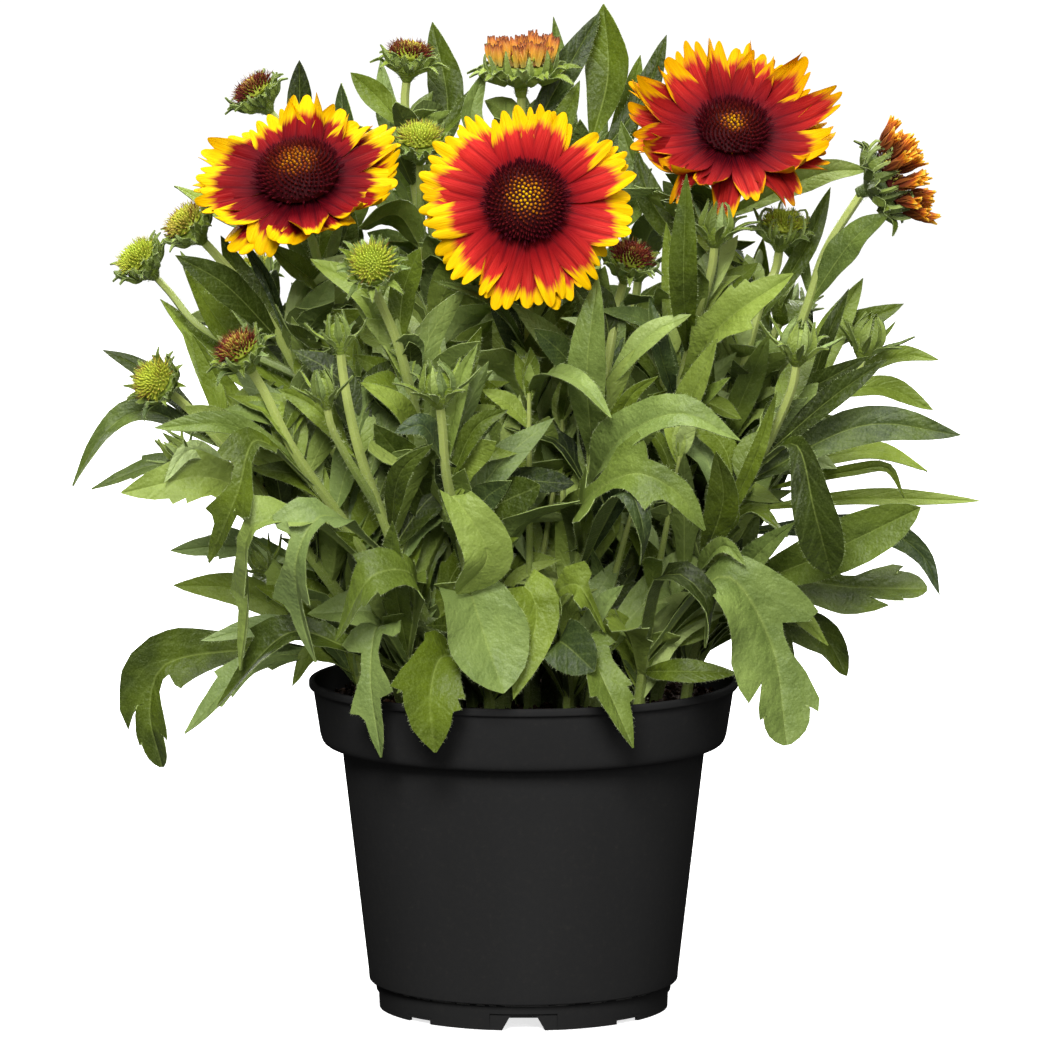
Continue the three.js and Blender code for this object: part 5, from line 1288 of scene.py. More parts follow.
def add_calyx(growth, head, draw, curled, tone):
    """The green cup under a head, with its bracts and their hairs."""
    size = HEADS[head["kind"]]
    own = HeadFrame(head)
    cup, depth, reach, tip = size["cup"], size["depth"], size["reach"], size["tip"]
    closed = head["kind"] in ("bud", "small")
    saucer = head["kind"] == "opening"
    neck = -depth - 1
    if closed:
        profile = [(0, neck), (1.8, neck + 0.2), (cup * 0.62, -depth * 0.8), (cup * 0.92, -depth * 0.45),
                   (cup, -depth * 0.1), (cup * 0.92, tip * 0.25), (cup * 0.66, tip * 0.5),
                   (cup * 0.3, tip * 0.62), (0, tip * 0.66)]
    elif saucer:
        cup *= 1.34
        reach *= 1.08
        profile = [(0, neck), (2.1, neck + 0.2), (2.8, -depth * 0.74), (cup * 0.46, -depth * 0.62),
                   (cup * 0.8, -depth * 0.46), (cup * 0.97, -depth * 0.24), (cup, -1), (cup * 0.94, 0.4),
                   (0, 0.5)]
    else:
        profile = [(0, neck), (1.9, neck + 0.2), (cup * 0.42, -depth * 0.86), (cup * 0.76, -depth * 0.62),
                   (cup * 0.94, -depth * 0.34), (cup, -1.6), (cup * 0.96, -0.35), (0, -0.3)]
    add_lathe(growth, own.put, profile, 18, tone)
    button = head["kind"] == "button"
    rows = 3 if button or saucer else 2
    count = size["bracts"] * rows
    for i in range(count):
        outer = i % rows == 0
        curling = curled and i % rows == 1
        turn = (i + draw.uniform(-0.45, 0.45)) * FULL_TURN / count
        out = polar(1, turn, 0)
        far = reach * draw.uniform(0.88, 1.12) * (1 if outer else 0.84)
        if closed and outer:
            end = tip * draw.uniform(0.1, 1.0)
            line = [(cup * 0.72, -depth * 0.62), (cup * 1.22, -depth * 0.24), (far * 1.08, tip * 0.12),
                    (far * 1.55, end)]
            width = cup * 0.46
        elif closed:
            line = [(cup * 0.78, -depth * 0.4), (cup * 1.04, tip * 0.1), (cup * 0.8, tip * 0.7),
                    (cup * draw.uniform(0.1, 0.7), tip * draw.uniform(1.05, 1.35))]
            width = cup * 0.8
        elif curling:
            spin = draw.uniform(0.7, 1.3)
            line = [(cup * 0.8, -depth * 0.4), (cup * 1.16, -depth * 0.02), (cup * 1.22, 4.2 * spin),
                    (cup * 0.98, 6.4 * spin), (cup * 0.74, 5.2 * spin), (cup * 0.8, 3.2 * spin)]
            width = cup * 0.15
        elif i % rows == rows - 1 and head["kind"] != "bloom":
            end = draw.uniform(1.5, 5.5)
            if saucer:
                line = [(cup * 0.7, -depth * 0.5), (cup * 0.98, -depth * 0.2), (cup * 1.06, end * 0.6 + 1),
                        (cup * draw.uniform(0.96, 1.14), end * 1.3 + 2)]
            else:
                line = [(cup * 0.86, -depth * 0.34), (cup * 1.16, -depth * 0.08), (cup * 1.4, end * 0.45),
                        (cup * draw.uniform(1.3, 1.62), end)]
            width = cup * (0.5 if button else 0.4)
        else:
            low = -0.56 if outer else -0.42
            end = tip + draw.uniform(-5, 1) if outer else tip + draw.uniform(-2, 3)
            line = [(cup * 0.7, depth * low), (cup * 1.06, depth * (low + 0.16)),
                    ((cup + far) / 2, (depth * (low + 0.24) + end) / 2 + 1.6), (far * 1.04, end)]
            width = cup * 0.5
        points = own.put([out * r + UP * h for r, h in line])
        face = own.aim([UP - out * 0.6])[0]
        pale = 0.55 if curling else 0
        add_blade(growth, BRACT, points, width, face, draw, tone + pale + draw.uniform(-0.2, 0.2), fold=0.5,
                  wave=0.04, twist=draw.uniform(-0.5, 0.5), hairs=1.6, sink=0.2)
    count = int(90 + cup * 16)
    turn = draw.uniform(0, FULL_TURN, count)
    high = draw.uniform(neck + 1, tip * 0.3 if closed else -2, count)
    radius = np.interp(high, [h for r, h in profile[:-1]], [r for r, h in profile[:-1]])
    add_hairs(growth, own.put(polar(radius, turn, high)), own.aim(polar(1, turn, 0.1)), 1.6, 0.05, draw)


# What each bloom is like. Of its petals: the share that is rolled up, how much, and where more of
# them are, in degrees; how far they bend up or down, and their ends; how uneven they are; how far
# they reach, all and the upper ones. Of its disc: how far the yellow middle reaches and how ripe
# it is, how long the outer florets are and how high it stands.
BLOOMS = {
    "left": {
        "folded": 0.34, "fold": (1.1, 2.5), "rolled": (62, 157), "sweep": 4.2, "tips": (-0.6, 0.9),
        "ragged": 0.13, "wide": 1.08, "top": 0.9, "gold": 0.44, "dawn": 0.26, "long": 1.25, "flat": 1.0},
    "middle": {
        "folded": 0.08, "fold": (0.7, 1.2), "rolled": (-118,), "sweep": 2.2, "tips": (-0.5, 0.4),
        "ragged": 0.2, "wide": 1.06, "top": 1, "gold": 0.5, "dawn": 0.0, "long": 0.85, "flat": 1.0},
    "right": {
        "folded": 0.68, "fold": (1.4, 3.0), "rolled": (112, 78, -60, -128, 20), "sweep": 5.4,
        "tips": (-0.6, 1.2), "ragged": 0.15, "wide": 1.12, "top": 0.97, "gold": 0.34, "dawn": 0.06,
        "long": 1.35, "flat": 0.5},
}
# Half of the angle, in degrees, over which more petals are rolled up.
ROLLED_SPREAD = 7
PETAL_FOOT = 8.5
BENT_FROM = 0.5


def head_petals(head):
    """The petals of a bloom as they stand in the solid model."""
    roll = dice(head["seed"])
    for i in range(head["petals"]):
        upper = i % 2
        roll()  # the shade of the petal in the solid model
        stir = roll() - 0.5
        radius = head["radius"] * (0.95 + 0.07 * roll() - 0.03 * upper)
        yield {"width": head["radius"] * (0.36 + 0.05 * roll()), "radius": radius, "tilt": 0.25 * stir,
               "turn": (i + 0.24 * stir) * FULL_TURN / head["petals"], "height": 1.5 + 1.7 * upper,
               "lift": head["lift"] + 1.4 * upper}


def add_petal(growth, own, blank, petal):
    """One petal: pleated, arched or rolled up about its length, tilted, and bent up or down."""
    side, share, z = blank.spots.T
    bend, long = petal["tip"], petal["radius"] - PETAL_FOOT
    far = np.maximum(0, share - BENT_FROM) * long
    turn_at = bend * np.maximum(0, share - BENT_FROM) / (1 - BENT_FROM)
    slack = (1 - BENT_FROM) * long / bend
    straight = PETAL_FOOT + long * share
    reach = straight - far + slack * np.sin(turn_at)
    free = np.clip((straight - 14) / (petal["radius"] - 14), 0, 1)
    half = petal["width"] / 2
    curl = petal["curl"] * free ** 1.3 * np.where(side > 0, petal["uneven"], 1) - 0.45 * (1 - free)
    curl = np.where(np.abs(curl) < 0.02, 0.02, curl)
    across = half * np.sin(side * curl) / curl
    rise = half * (1 - np.cos(side * curl)) / curl
    pleats = sum(np.exp(-((side - s) / 0.1) ** 2) for s in (-0.33, 0.33))
    rise = rise + pleats * -0.85 * np.minimum(1, share * 1.6)
    rise = rise + 0.45 * np.sin(side * 6 + petal["phase"]) * free ** 2
    tilt = petal["tilt"] * free
    across, rise = across * np.cos(tilt) - rise * np.sin(tilt), across * np.sin(tilt) + rise * np.cos(tilt)
    rise = rise + (petal["lift"] + petal["droop"]) * free ** 2 + petal["cup"] * np.sin(math.pi * free)
    rise = rise + slack * (1 - np.cos(turn_at))
    across = across + petal["sway"] * free ** 2
    cos, sin = math.cos(petal["turn"]), math.sin(petal["turn"])
    high = petal["height"] + rise + z
    spots = np.stack([reach * cos - across * sin, reach * sin + across * cos, high], axis=1)
    lay = np.stack([share, side * 0.5 + 0.5, petal["tone"] + np.where(z < -0.15, UNDERSIDE, 0)], axis=1)
    growth.add(own.put(spots), blank.quads, blank.tris, lay)


def make_petals(head, seed):
    own = HeadFrame(head)
    draw = np.random.default_rng(seed)
    growth = Growth()
    name = head["name"]
    look = BLOOMS[name]
    for petal in head_petals(head):
        down = own.aim([polar(1, petal["turn"], 0)])[0][2]
        hangs, stands = down < -0.3, down > 0.5
        folded = draw.uniform() < look["folded"] * (1.5 if hangs else 1)
        curl = draw.uniform(*look["fold"]) if folded else draw.uniform(-0.75, 0.35)
        tip = draw.uniform(*look["tips"]) * (1.6 if hangs else 0.45 if stands else 1)
        tip = tip if abs(tip) > 0.05 else 0.05
        petal.update(
            phase=draw.uniform(0, 6.28), tip=tip, droop=draw.uniform(-1, 1) * look["sweep"], curl=curl,
            uneven=draw.uniform(0.4, 1.2), cup=draw.uniform(-0.4, 1.2), sway=draw.uniform(-1.6, 1.6),
            tone=draw.uniform(0, 1), tilt=petal["tilt"] * 2 + draw.uniform(-0.2, 0.2) * look["sweep"] / 2)
        petal["radius"] *= draw.uniform(look["wide"] - look["ragged"], look["wide"])
        petal["radius"] *= look["top"] if stands else 1
        petal["width"] *= draw.uniform(0.96 - look["ragged"], 1.06 + look["ragged"])
        petal["turn"] += draw.uniform(-0.5, 0.5) * look["ragged"]
        right = own.aim([polar(1, petal["turn"], 0)])[0][0]
        seen = math.degrees(math.atan2(down, right))
        if any(abs((seen - gap + 180) % 360 - 180) < ROLLED_SPREAD for gap in look["rolled"]):
            petal.update(curl=draw.uniform(1.8, 2.6), width=petal["width"] * 0.8, cup=1.5)
        add_petal(growth, own, PETAL_BLANKS[int(draw.choice(4, p=(0.35, 0.3, 0.2, 0.15)))], petal)
    add_lathe(growth, own.put, [(0, 0.2), (11.5, 0.3), (11.8, 1.6), (11, 3), (0, 3.2)], 24, 0.5)
    growth.make(f"petal_ring_{name}", [PETALS[name]], [f"petals_{name}"], angle=60)


def add_florets(growth, own, blank, dome, shares, turns, size, tall, tones, draw, finish=0, lean=0,
                ripe=None):
    """Florets over a dome, which is given by its radius, height and foot."""
    radius, height, foot = dome
    angle = np.arcsin(np.clip(shares, 0, 1))
    spots = polar(radius * np.sin(angle), turns, foot + height * np.cos(angle))
    ways = unit(polar(np.sin(angle) * height, turns, np.cos(angle) * radius + 0.2 * radius))
    ways = unit(ways + polar(1, turns, 0) * lean + draw.normal(0, 0.06, ways.shape))
    side = unit(np.cross(ways, np.array([0.3, 0.9, 0.2])))
    other = np.cross(ways, side)
    x, y, z = (blank.spots[None, :, k, None] for k in range(3))
    copies = (spots[:, None] - ways[:, None] * 0.4
              + (x * side[:, None] + y * other[:, None]) * size[:, None, None]
              + z * ways[:, None] * tall[:, None, None])
    each = len(blank.spots)
    lay = np.stack([np.repeat(shares if ripe is None else ripe, each),
                    np.tile(z.ravel() / z.max(), len(shares)), np.repeat(tones, each)], axis=1)
    growth.add_copies(own.put(copies), blank.tris, lay, finish)


def spiral(count):
    order = np.arange(count) + 0.5
    return np.sqrt(order / count), order * GOLDEN_ANGLE


def make_disc(head, seed):
    own = HeadFrame(head)
    draw = np.random.default_rng(seed)
    growth = Growth()
    look = BLOOMS[head["name"]]
    gold, dawn = look["gold"], look["dawn"]
    radius, foot = head["disc"], 4.9
    height = (radius * 0.5 + 0.4) * look["flat"]
    profile = [(0, foot - 1.5), (radius * 0.8, foot - 1.4), (radius * 0.95, foot + 0.4)]
    profile += [(radius * 0.98 * math.sin(a), foot + height * math.cos(a))
                for a in (1.3, 1.05, 0.8, 0.5, 0.25)]
    add_lathe(growth, own.put, profile + [(0, foot + height)], 32, 0.5)
    growth.lay[-1] = growth.lay[-1] * np.array([0, 0, 1]) + np.array([0.8, 0, 0])
    dome = (radius, height, foot)
    shares, turns = spiral(int(1.25 * radius ** 2))
    tones = draw.uniform(0, 1, len(shares))
    inner = shares < gold + 0.05
    size = draw.uniform(0.95, 1.12, len(shares))
    tall = np.where(inner, 1.3 + 0.5 * shares, 1.9 + 1.5 * (shares - gold) * look["long"])
    tall = tall * draw.uniform(0.85, 1.15, len(shares))
    ripe = np.where(shares < gold, dawn + shares / gold * (0.42 - dawn),
                    0.45 + (shares - gold) / (1 - gold) * 0.55)
    for some, blank, wide, lean in ((inner, FLORET, 1.22, 0), (~inner, SPIKE, 1.1, 0.12)):
        add_florets(growth, own, blank, dome, shares[some], turns[some], size[some] * wide, tall[some],
                    tones[some], draw, lean=lean, ripe=ripe[some])
    open_ones = np.nonzero(shares > gold + 0.08)[0]
    for lean in (-0.3, 0.1, 0.5):
        some = open_ones[draw.uniform(0, 1, len(open_ones)) < 0.55]
        add_florets(growth, own, SPIKE, dome, shares[some], turns[some] + lean * 0.12,
                    np.full(len(some), 0.36), tall[some] * 1.35, tones[some], draw,
                    lean=lean, ripe=ripe[some])
    growth.make(f"floret_disc_{head['name']}", [DISC], [f"disc_{head['name']}"], angle=35)


# How ripe the florets of each button are: the least and the most of their tones.
BUTTON_TONES = [
    (0.45, 1.0), (0.3, 0.95), (0.05, 0.4), (0.0, 0.35), (0.25, 0.6), (0.0, 0.3), (0.1, 0.45), (0.4, 0.95),
    (0.6, 1.0), (0.0, 0.3), (0.1, 0.5), (0.2, 0.7),
]


def make_button(head, number):
    own = HeadFrame(head)
    draw = np.random.default_rng(300 + number)
    growth = Growth()
    radius, height, foot = dome = 6.9, 4.4, 0.6
    profile = [(0, 0), (radius * 0.9, 0.1), (radius, 1)]
    profile += [(radius * math.sin(a), foot + height * math.cos(a)) for a in (1.2, 0.8, 0.4)]
    add_lathe(growth, own.put, profile + [(0, foot + height)], 20, 0.3)
    low, high = BUTTON_TONES[number - 1]
    shares, turns = spiral(150)
    tones = low + (high - low) * np.clip(shares * 0.6 + draw.uniform(0, 0.5, len(shares)), 0, 1)
    size = 0.82 * draw.uniform(0.85, 1.15, len(shares))
    tall = draw.uniform(1.4, 2.3, len(shares)) + shares * 0.8
    add_florets(growth, own, FLORET, dome, shares, turns, size, tall, tones, draw)
    for lean, longer in ((0.3, 1.5), (0.9, 1.8), (-0.3, 1.7)):
        some = (shares > 0.55) & (draw.uniform(0, 1, len(shares)) < 0.7)
        riper = np.clip(tones[some] + draw.uniform(-0.3, 0.5, some.sum()), 0, 1)
        add_florets(growth, own, SPIKE, dome, shares[some], turns[some] + 0.1 * lean, size[some] * 0.32,
                    tall[some] * longer, riper, draw, lean=lean)
    growth.make(f"bud_florets_{number}", [BUD], [f"button_{number}"], angle=35)


# What the rays of each opening head are like. Each of their rings has its count, radius and lean.
OPENINGS = {
    "top": {"wide": 1.02, "tall": 0.84, "spread": 0.32, "tone": 0.7, "dome": (2.0, 1.0), "long": (0.7, 1.05),
            "flare": (0.4, 1.3), "ray": 1, "rings": ((15, 0.84, 0.7), (10, 0.54, 0.36), (4, 0.18, 0.1))},
    "side": {"wide": 1.2, "tall": 0.7, "spread": 0.9, "tone": 1.2, "dome": (4.4, 3.4), "long": (0.85, 1.25),
             "flare": (1.2, 2.6), "ray": 1.6, "rings": ((11, 0.84, 0.7), (7, 0.5, 0.36), (2, 0.16, 0.1))},
}


def make_rays(head, seed):
    """A bud that is just opening: rings of small trumpets on a low dome, each with pointed lobes."""
    own = HeadFrame(head)
    draw = np.random.default_rng(seed)
    growth = Growth()
    name = head["name"]
    look = OPENINGS[name]
    wide, tall = head["spread"] * look["wide"], head["tall"] * look["tall"]
    top, drop = look["dome"]
    profile = [(0, -1.6), (8.8, -1.4), (wide * 0.66, 0.2), (wide * 0.74, 1.2), (wide * 0.6, 3.2),
               (wide * 0.3, 4.6), (0, 5)]
    add_lathe(growth, own.put, profile, 24, look["tone"], 1)
    for count, out_at, lean in look["rings"]:
        for i in range(count):
            turn = (i + draw.uniform(-0.25, 0.25)) * FULL_TURN / count + lean
            out = polar(1, turn, 0)
            root = out * wide * out_at + UP * (top - drop * out_at ** 2)
            way = unit(UP + out * lean * look["spread"] * draw.uniform(0.7, 1.3) + draw.normal(0, 0.05, 3))
            side = unit(np.cross(way, out + UP * 0.01))
            other = np.cross(side, way)
            long = tall * draw.uniform(*look["long"])
            for k in range(5):
                angle = (k + draw.uniform(-0.25, 0.25)) * FULL_TURN / 5
                away = math.cos(angle) * side + math.sin(angle) * other
                flare = draw.uniform(*look["flare"])
                end = root + way * long * draw.uniform(0.9, 1.05) + away * flare
                line = own.put([root, root + way * long * 0.55 + away, end])
                width = draw.uniform(2.7, 3.7) * look["ray"]
                add_blade(growth, RAY_BLANK, line, width, own.aim([-away])[0], draw, draw.uniform(0, 1),
                          fold=0.6, wave=0.03, twist=draw.uniform(-0.5, 0.5), hairs=0, sink=0.1)
    shares, turns = spiral(110)
    tones = draw.uniform(0.3, 1.0, len(shares))
    add_florets(growth, own, FLORET, (wide * 0.78, 4, 0.9), shares, turns, draw.uniform(0.8, 1.1, 110),
                draw.uniform(1.4, 3, 110), tones, draw, finish=1)
    growth.make(f"opening_rays_{name}", [RAYS[name], BUD], [f"rays_{name}"])


# ------------------------------------------------------------------ pot and soil

POT_HEIGHT = 131
LIP_RADIUS = 85.2
COLLAR_BOTTOM = 105.5
COLLAR_RADIUS = 80.5
BODY_TOP_RADIUS = 72.2
BODY_FOOT_RADIUS = 61.7
BASE_RING_RADIUS = 59
BASE_RING_HEIGHT = 10
WALL = 1.4
FLOOR_UNDERSIDE = 3.6
NOTCH_HEIGHT = 5.6
NOTCH_FOOT_WIDTH = 19
NOTCH_TOP_WIDTH = 10.5
# Width, height, first angle and depth of the recesses and side notches in the base ring.
RECESSES = ((27, 6.6, 0, 1.2), (14, 2.6, 45, 0.9), (12, 1.5, 45, 4))
# Grain and height, in metres, of the clods of the soil.
CLODS = ((0.02, 0.0045), (0.005, 0.0026), (0.002, 0.0012))


def turned(name, profile, steps):
    """A turned piece: its profile is drawn point by point and spun round the upright axis."""
    deselect()
    bpy.ops.mesh.primitive_plane_add(size=0.001)
    piece = start(name)
    bpy.ops.mesh.merge(type="CENTER")
    radius, height = profile[0]
    move(radius * MM, z=height * MM)
    for (r0, h0), (r1, h1) in zip(profile, profile[1:]):
        along = ((r1 - r0) * MM, 0, (h1 - h0) * MM)
        bpy.ops.mesh.extrude_vertices_move(TRANSFORM_OT_translate={"value": along})
    pick_all()
    bpy.ops.mesh.spin(steps=steps, angle=FULL_TURN, center=ORIGIN, axis=(0, 0, 1))
    pick_all()
    bpy.ops.mesh.remove_doubles(threshold=2e-6)
    bpy.ops.mesh.normals_make_consistent(inside=False)
    return close(piece)


def rounded(a, corner, b, radius, steps):
    """A corner of a profile, rounded off towards its two neighbours."""
    a, corner, b = (np.array(p, float) for p in (a, corner, b))
    p, q = corner + unit(a - corner) * radius, corner + unit(b - corner) * radius
    shares = np.linspace(0, 1, steps + 1)
    return [tuple((1 - s) ** 2 * p + 2 * s * (1 - s) * corner + s ** 2 * q) for s in shares]


def cut(pot, cutter):
    modify(pot, "BOOLEAN", operation="DIFFERENCE", solver="EXACT", object=close(cutter))
    bpy.data.objects.remove(cutter)


def cut_recess(pot, wide, high, first, deep):
    """Four recesses round the foot, each a part of a ring."""
    deselect()
    bpy.ops.mesh.primitive_plane_add(size=1)
    cutter = start("recess")
    stretch(6 * MM, (high + 2) * MM)
    swing(math.radians(90), "X")
    move((BASE_RING_RADIUS - deep + 3) * MM, z=(high / 2 - 1) * MM)
    angle = wide / BASE_RING_RADIUS
    swing(-math.radians(first - 90) - angle / 2)
    bpy.ops.mesh.spin(steps=10, angle=angle, center=ORIGIN, axis=(0, 0, 1))
    set_four_round()
    pick_all()
    bpy.ops.mesh.normals_make_consistent(inside=False)
    cut(pot, cutter)


def cut_notches(pot):
    """Four drainage notches, narrower at the top."""
    deselect()
    bpy.ops.mesh.primitive_cube_add(size=1)
    cutter = start("notch")
    high = (NOTCH_HEIGHT + 2) * MM
    stretch(NOTCH_FOOT_WIDTH * MM, 18 * MM, high)
    pick(cutter, lambda k, co: co.z > 0)
    stretch(NOTCH_TOP_WIDTH / NOTCH_FOOT_WIDTH)
    pick_all()
    move(y=-BASE_RING_RADIUS * MM, z=NOTCH_HEIGHT * MM - high / 2)
    bpy.ops.mesh.bevel(offset=0.0008, segments=3, affect="EDGES")
    set_four_round()
    cut(pot, cutter)


def make_pot():
    inner = BASE_RING_RADIUS - 1 - WALL
    ring_top = (BASE_RING_RADIUS, BASE_RING_HEIGHT)
    step = (BODY_FOOT_RADIUS - 0.2, BASE_RING_HEIGHT + 0.7)
    body_foot = (BODY_FOOT_RADIUS, BASE_RING_HEIGHT + 4)
    body_top = (BODY_TOP_RADIUS, COLLAR_BOTTOM - 0.5)
    under = (COLLAR_RADIUS - 1, COLLAR_BOTTOM)
    collar = (COLLAR_RADIUS + 0.2, COLLAR_BOTTOM + 4)
    below_lip = (LIP_RADIUS - 1.7, POT_HEIGHT - 3.4)
    lip_low = (LIP_RADIUS, POT_HEIGHT - 2.9)
    lip = (LIP_RADIUS, POT_HEIGHT)
    lip_in = (LIP_RADIUS - 2.4, POT_HEIGHT)
    inside = (COLLAR_RADIUS - WALL, COLLAR_BOTTOM + 4)
    profile = [
        (0, FLOOR_UNDERSIDE), (inner, FLOOR_UNDERSIDE), (inner, 0), (BASE_RING_RADIUS - 1, 0), ring_top,
        *rounded(ring_top, step, body_foot, 0.6, 3), body_foot, body_top,
        *rounded(body_top, under, collar, 2.6, 5), collar, below_lip,
        *rounded(below_lip, lip_low, lip, 0.7, 3), *rounded(lip_low, lip, lip_in, 1.0, 4),
        *rounded(lip, lip_in, inside, 0.8, 3), inside,
        (BODY_TOP_RADIUS - WALL, COLLAR_BOTTOM + 1), (BODY_FOOT_RADIUS - WALL, BASE_RING_HEIGHT + 5),
        (inner, BASE_RING_HEIGHT), (inner, FLOOR_UNDERSIDE + WALL), (0, FLOOR_UNDERSIDE + WALL)]
    pot = turned("pot_shell", profile, 128)
    for recess in RECESSES:
        cut_recess(pot, *recess)
    cut_notches(pot)
    pot.data.materials.clear()
    pot.data.materials.append(pot_finish())
    hand_in(pot, ["pot"], 32)


def make_soil():
    inside = WALL + 1
    foot = FLOOR_UNDERSIDE + WALL + 0.3
    rim = COLLAR_RADIUS - 0.8
    low = BASE_RING_RADIUS - 1 - inside
    profile = [(0, foot), (low, foot), (low, BASE_RING_HEIGHT + 2),
               (BODY_FOOT_RADIUS - inside, BASE_RING_HEIGHT + 6),
               (BODY_TOP_RADIUS - inside, COLLAR_BOTTOM + 2.6),
               (COLLAR_RADIUS - inside, COLLAR_BOTTOM + 5), (rim, SOIL_TOP)]
    profile += [(rim * (1 - k / 34), SOIL_TOP) for k in range(1, 34)] + [(0, SOIL_TOP)]
    soil = turned("soil_bed", profile, 110)
    top = [v.index for v in soil.data.vertices
           if v.co.z > (SOIL_TOP - 0.5) * MM and math.hypot(v.co.x, v.co.y) < rim * 0.99 * MM]
    soil.vertex_groups.new(name="top").add(top, 1, "REPLACE")
    for scale, strength in CLODS:
        clods = bpy.data.textures.new("clods", "CLOUDS")
        clods.noise_scale = scale
        clods.noise_depth = 2
        modify(soil, "DISPLACE", texture=clods, strength=strength, mid_level=0.55, vertex_group="top",
               texture_coords="LOCAL", direction="Z")
    finish = soil_finish()
    soil.data.materials.append(finish)
    hand_in(soil, ["soil"], 60)
    draw = np.random.default_rng(5)
    growth = Growth()
    count = 1500
    radius = rim * 0.985 * np.sqrt(draw.uniform(0.05, 1, count))
    turn = draw.uniform(0, FULL_TURN, count)
    size = draw.uniform(0.5, 1.9, count) * draw.choice([1, 1, 1, 1.5], count)
    centre = polar(radius, turn, SOIL_TOP + draw.uniform(-0.4, 1.2, count))
    spin = draw.normal(0, 1, (count, 3))
    side = unit(np.cross(spin, UP))
    other = unit(np.cross(side, unit(spin)))
    axes = np.stack([side, other, np.cross(side, other)], axis=1)
    axes = axes * draw.uniform(0.6, 1.2, (count, 3))[:, :, None]
    spots = centre[:, None] + size[:, None, None] * np.einsum("kc,ncd->nkd", CRUMB.spots, axes)
    growth.add_copies(spots, CRUMB.tris, (0.5, 0.5, 0.5))
    growth.make("soil_crumbs", [finish], angle=30)


# ------------------------------------------------------------------ fuller growth between the leaves

# The edge of the dense growth, read as [across, up] by an eye in front of the pot.
GROWTH_EDGE = [
    (-116, 309), (-142, 290), (-152, 262), (-152, 230), (-146, 210), (-134, 192), (-116, 165), (-108, 146),
    (-96, 128), (-60, 124), (60, 124), (92, 130), (110, 146), (136, 162), (144, 178), (151, 202), (146, 226),
    (134, 250), (134, 268), (124, 288), (108, 303), (74, 325), (52, 350), (34, 376), (14, 382), (-5, 362),
    (-29, 368), (-52, 360), (-89, 344),
]
EYE = np.array([0, -EYE_AWAY, EYE_UP])
FILL_SPACING = 3.1
ALL_HEADS = [top for each in STEMS for top in heads_of(each)]


def seen_at(spot):
    """Where a spot shows on the upright plane through the pot's axis, for an eye in front."""
    spread = 1 + spot[1] / EYE_AWAY
    return spot[0] / spread, EYE_UP - (EYE_UP - spot[2]) / spread


def inside_edge(x, z):
    odd = False
    for (x0, z0), (x1, z1) in zip(GROWTH_EDGE, GROWTH_EDGE[1:] + GROWTH_EDGE[:1]):
        if (z0 > z) != (z1 > z) and x < x0 + (z - z0) * (x1 - x0) / (z1 - z0):
            odd = not odd
    return odd


def covers(surface, spot):
    """True where a spot stands in front of a leaf or head of the solid model."""
    way = Vector(spot - EYE)
    hit = surface.ray_cast(Vector(EYE), way.normalized())
    return hit[0] is not None and hit[3] > way.length + 1.5


def hides_head(spot):
    x, z = seen_at(spot)
    for top in ALL_HEADS:
        centre, room = place(top["at"]), HEADS[top["kind"]]["room"]
        head_x, head_z = seen_at(centre)
        if spot[1] < centre[1] + 6 and math.hypot(x - head_x, z - head_z) < room:
            return True
        if np.linalg.norm(spot - centre) < room * 0.8:
            return True
    return False


def fits(surface, points, width):
    """True for a leaf that stays inside the growth, leaves the heads free and covers little."""
    spots = Rib(points, 12).at([0.3, 0.55, 0.8, 1.0])
    x, y, z = spots[1]
    if y < -26 and abs(x) < 100 and 165 < z < 285 and math.sin(x * 0.9) > -0.3:
        return False
    across = unit(np.cross(points[-1] - points[0], np.array([0, -0.7, 0.7]))) * width * 0.4
    spots = np.concatenate([spots, spots[1:3] + across, spots[1:3] - across])
    covering = 0
    for spot in spots:
        if not inside_edge(*seen_at(spot)) or spot[2] < SOIL_TOP + 4 or hides_head(spot):
            return False
        low = np.clip((spot[2] - 125) / 90, 0, 1)
        wide, deep = 96 + 64 * low, 80 + 34 * low
        if (spot[0] / wide) ** 2 + (spot[1] / deep) ** 2 > 1:
            return False
        covering += covers(surface, spot)
    return covering <= 3


def fill_leaves(rib, surface, draw):
    """Leaves that fill the growth out, all the way up a stem and round it."""
    found = []
    top = rib.line[-1][2] - 26
    low = SOIL_TOP + 8
    count = max(3, int((top - low) / FILL_SPACING)) if top > low + 20 else 14
    for i in range(count):
        share = i / max(1, count - 1)
        root = rib.at_height(low + max(0, top - low) * share)
        for attempt in range(10):
            heading = i * GOLDEN_ANGLE + draw.uniform(-0.6, 0.6) + attempt * 1.1
            length = (82 - 36 * share) * draw.uniform(0.65, 1.1) * (1 - 0.05 * attempt)
            width = (18 - 6.5 * share) * draw.uniform(0.7, 1.15)
            rise, fall = draw.uniform(0.9, 1.45), draw.uniform(0.1, 1.0)
            points = arch_points(root, heading, rise, length, fall)
            if fits(surface, points, width):
                lean = draw.uniform(0.4, 1.7) * (1 if root[1] > 10 or draw.uniform() < 0.4 else -1)
                found.append((points, arch_face(heading, lean), width, share))
                break
    return found


# ------------------------------------------------------------------ the plant

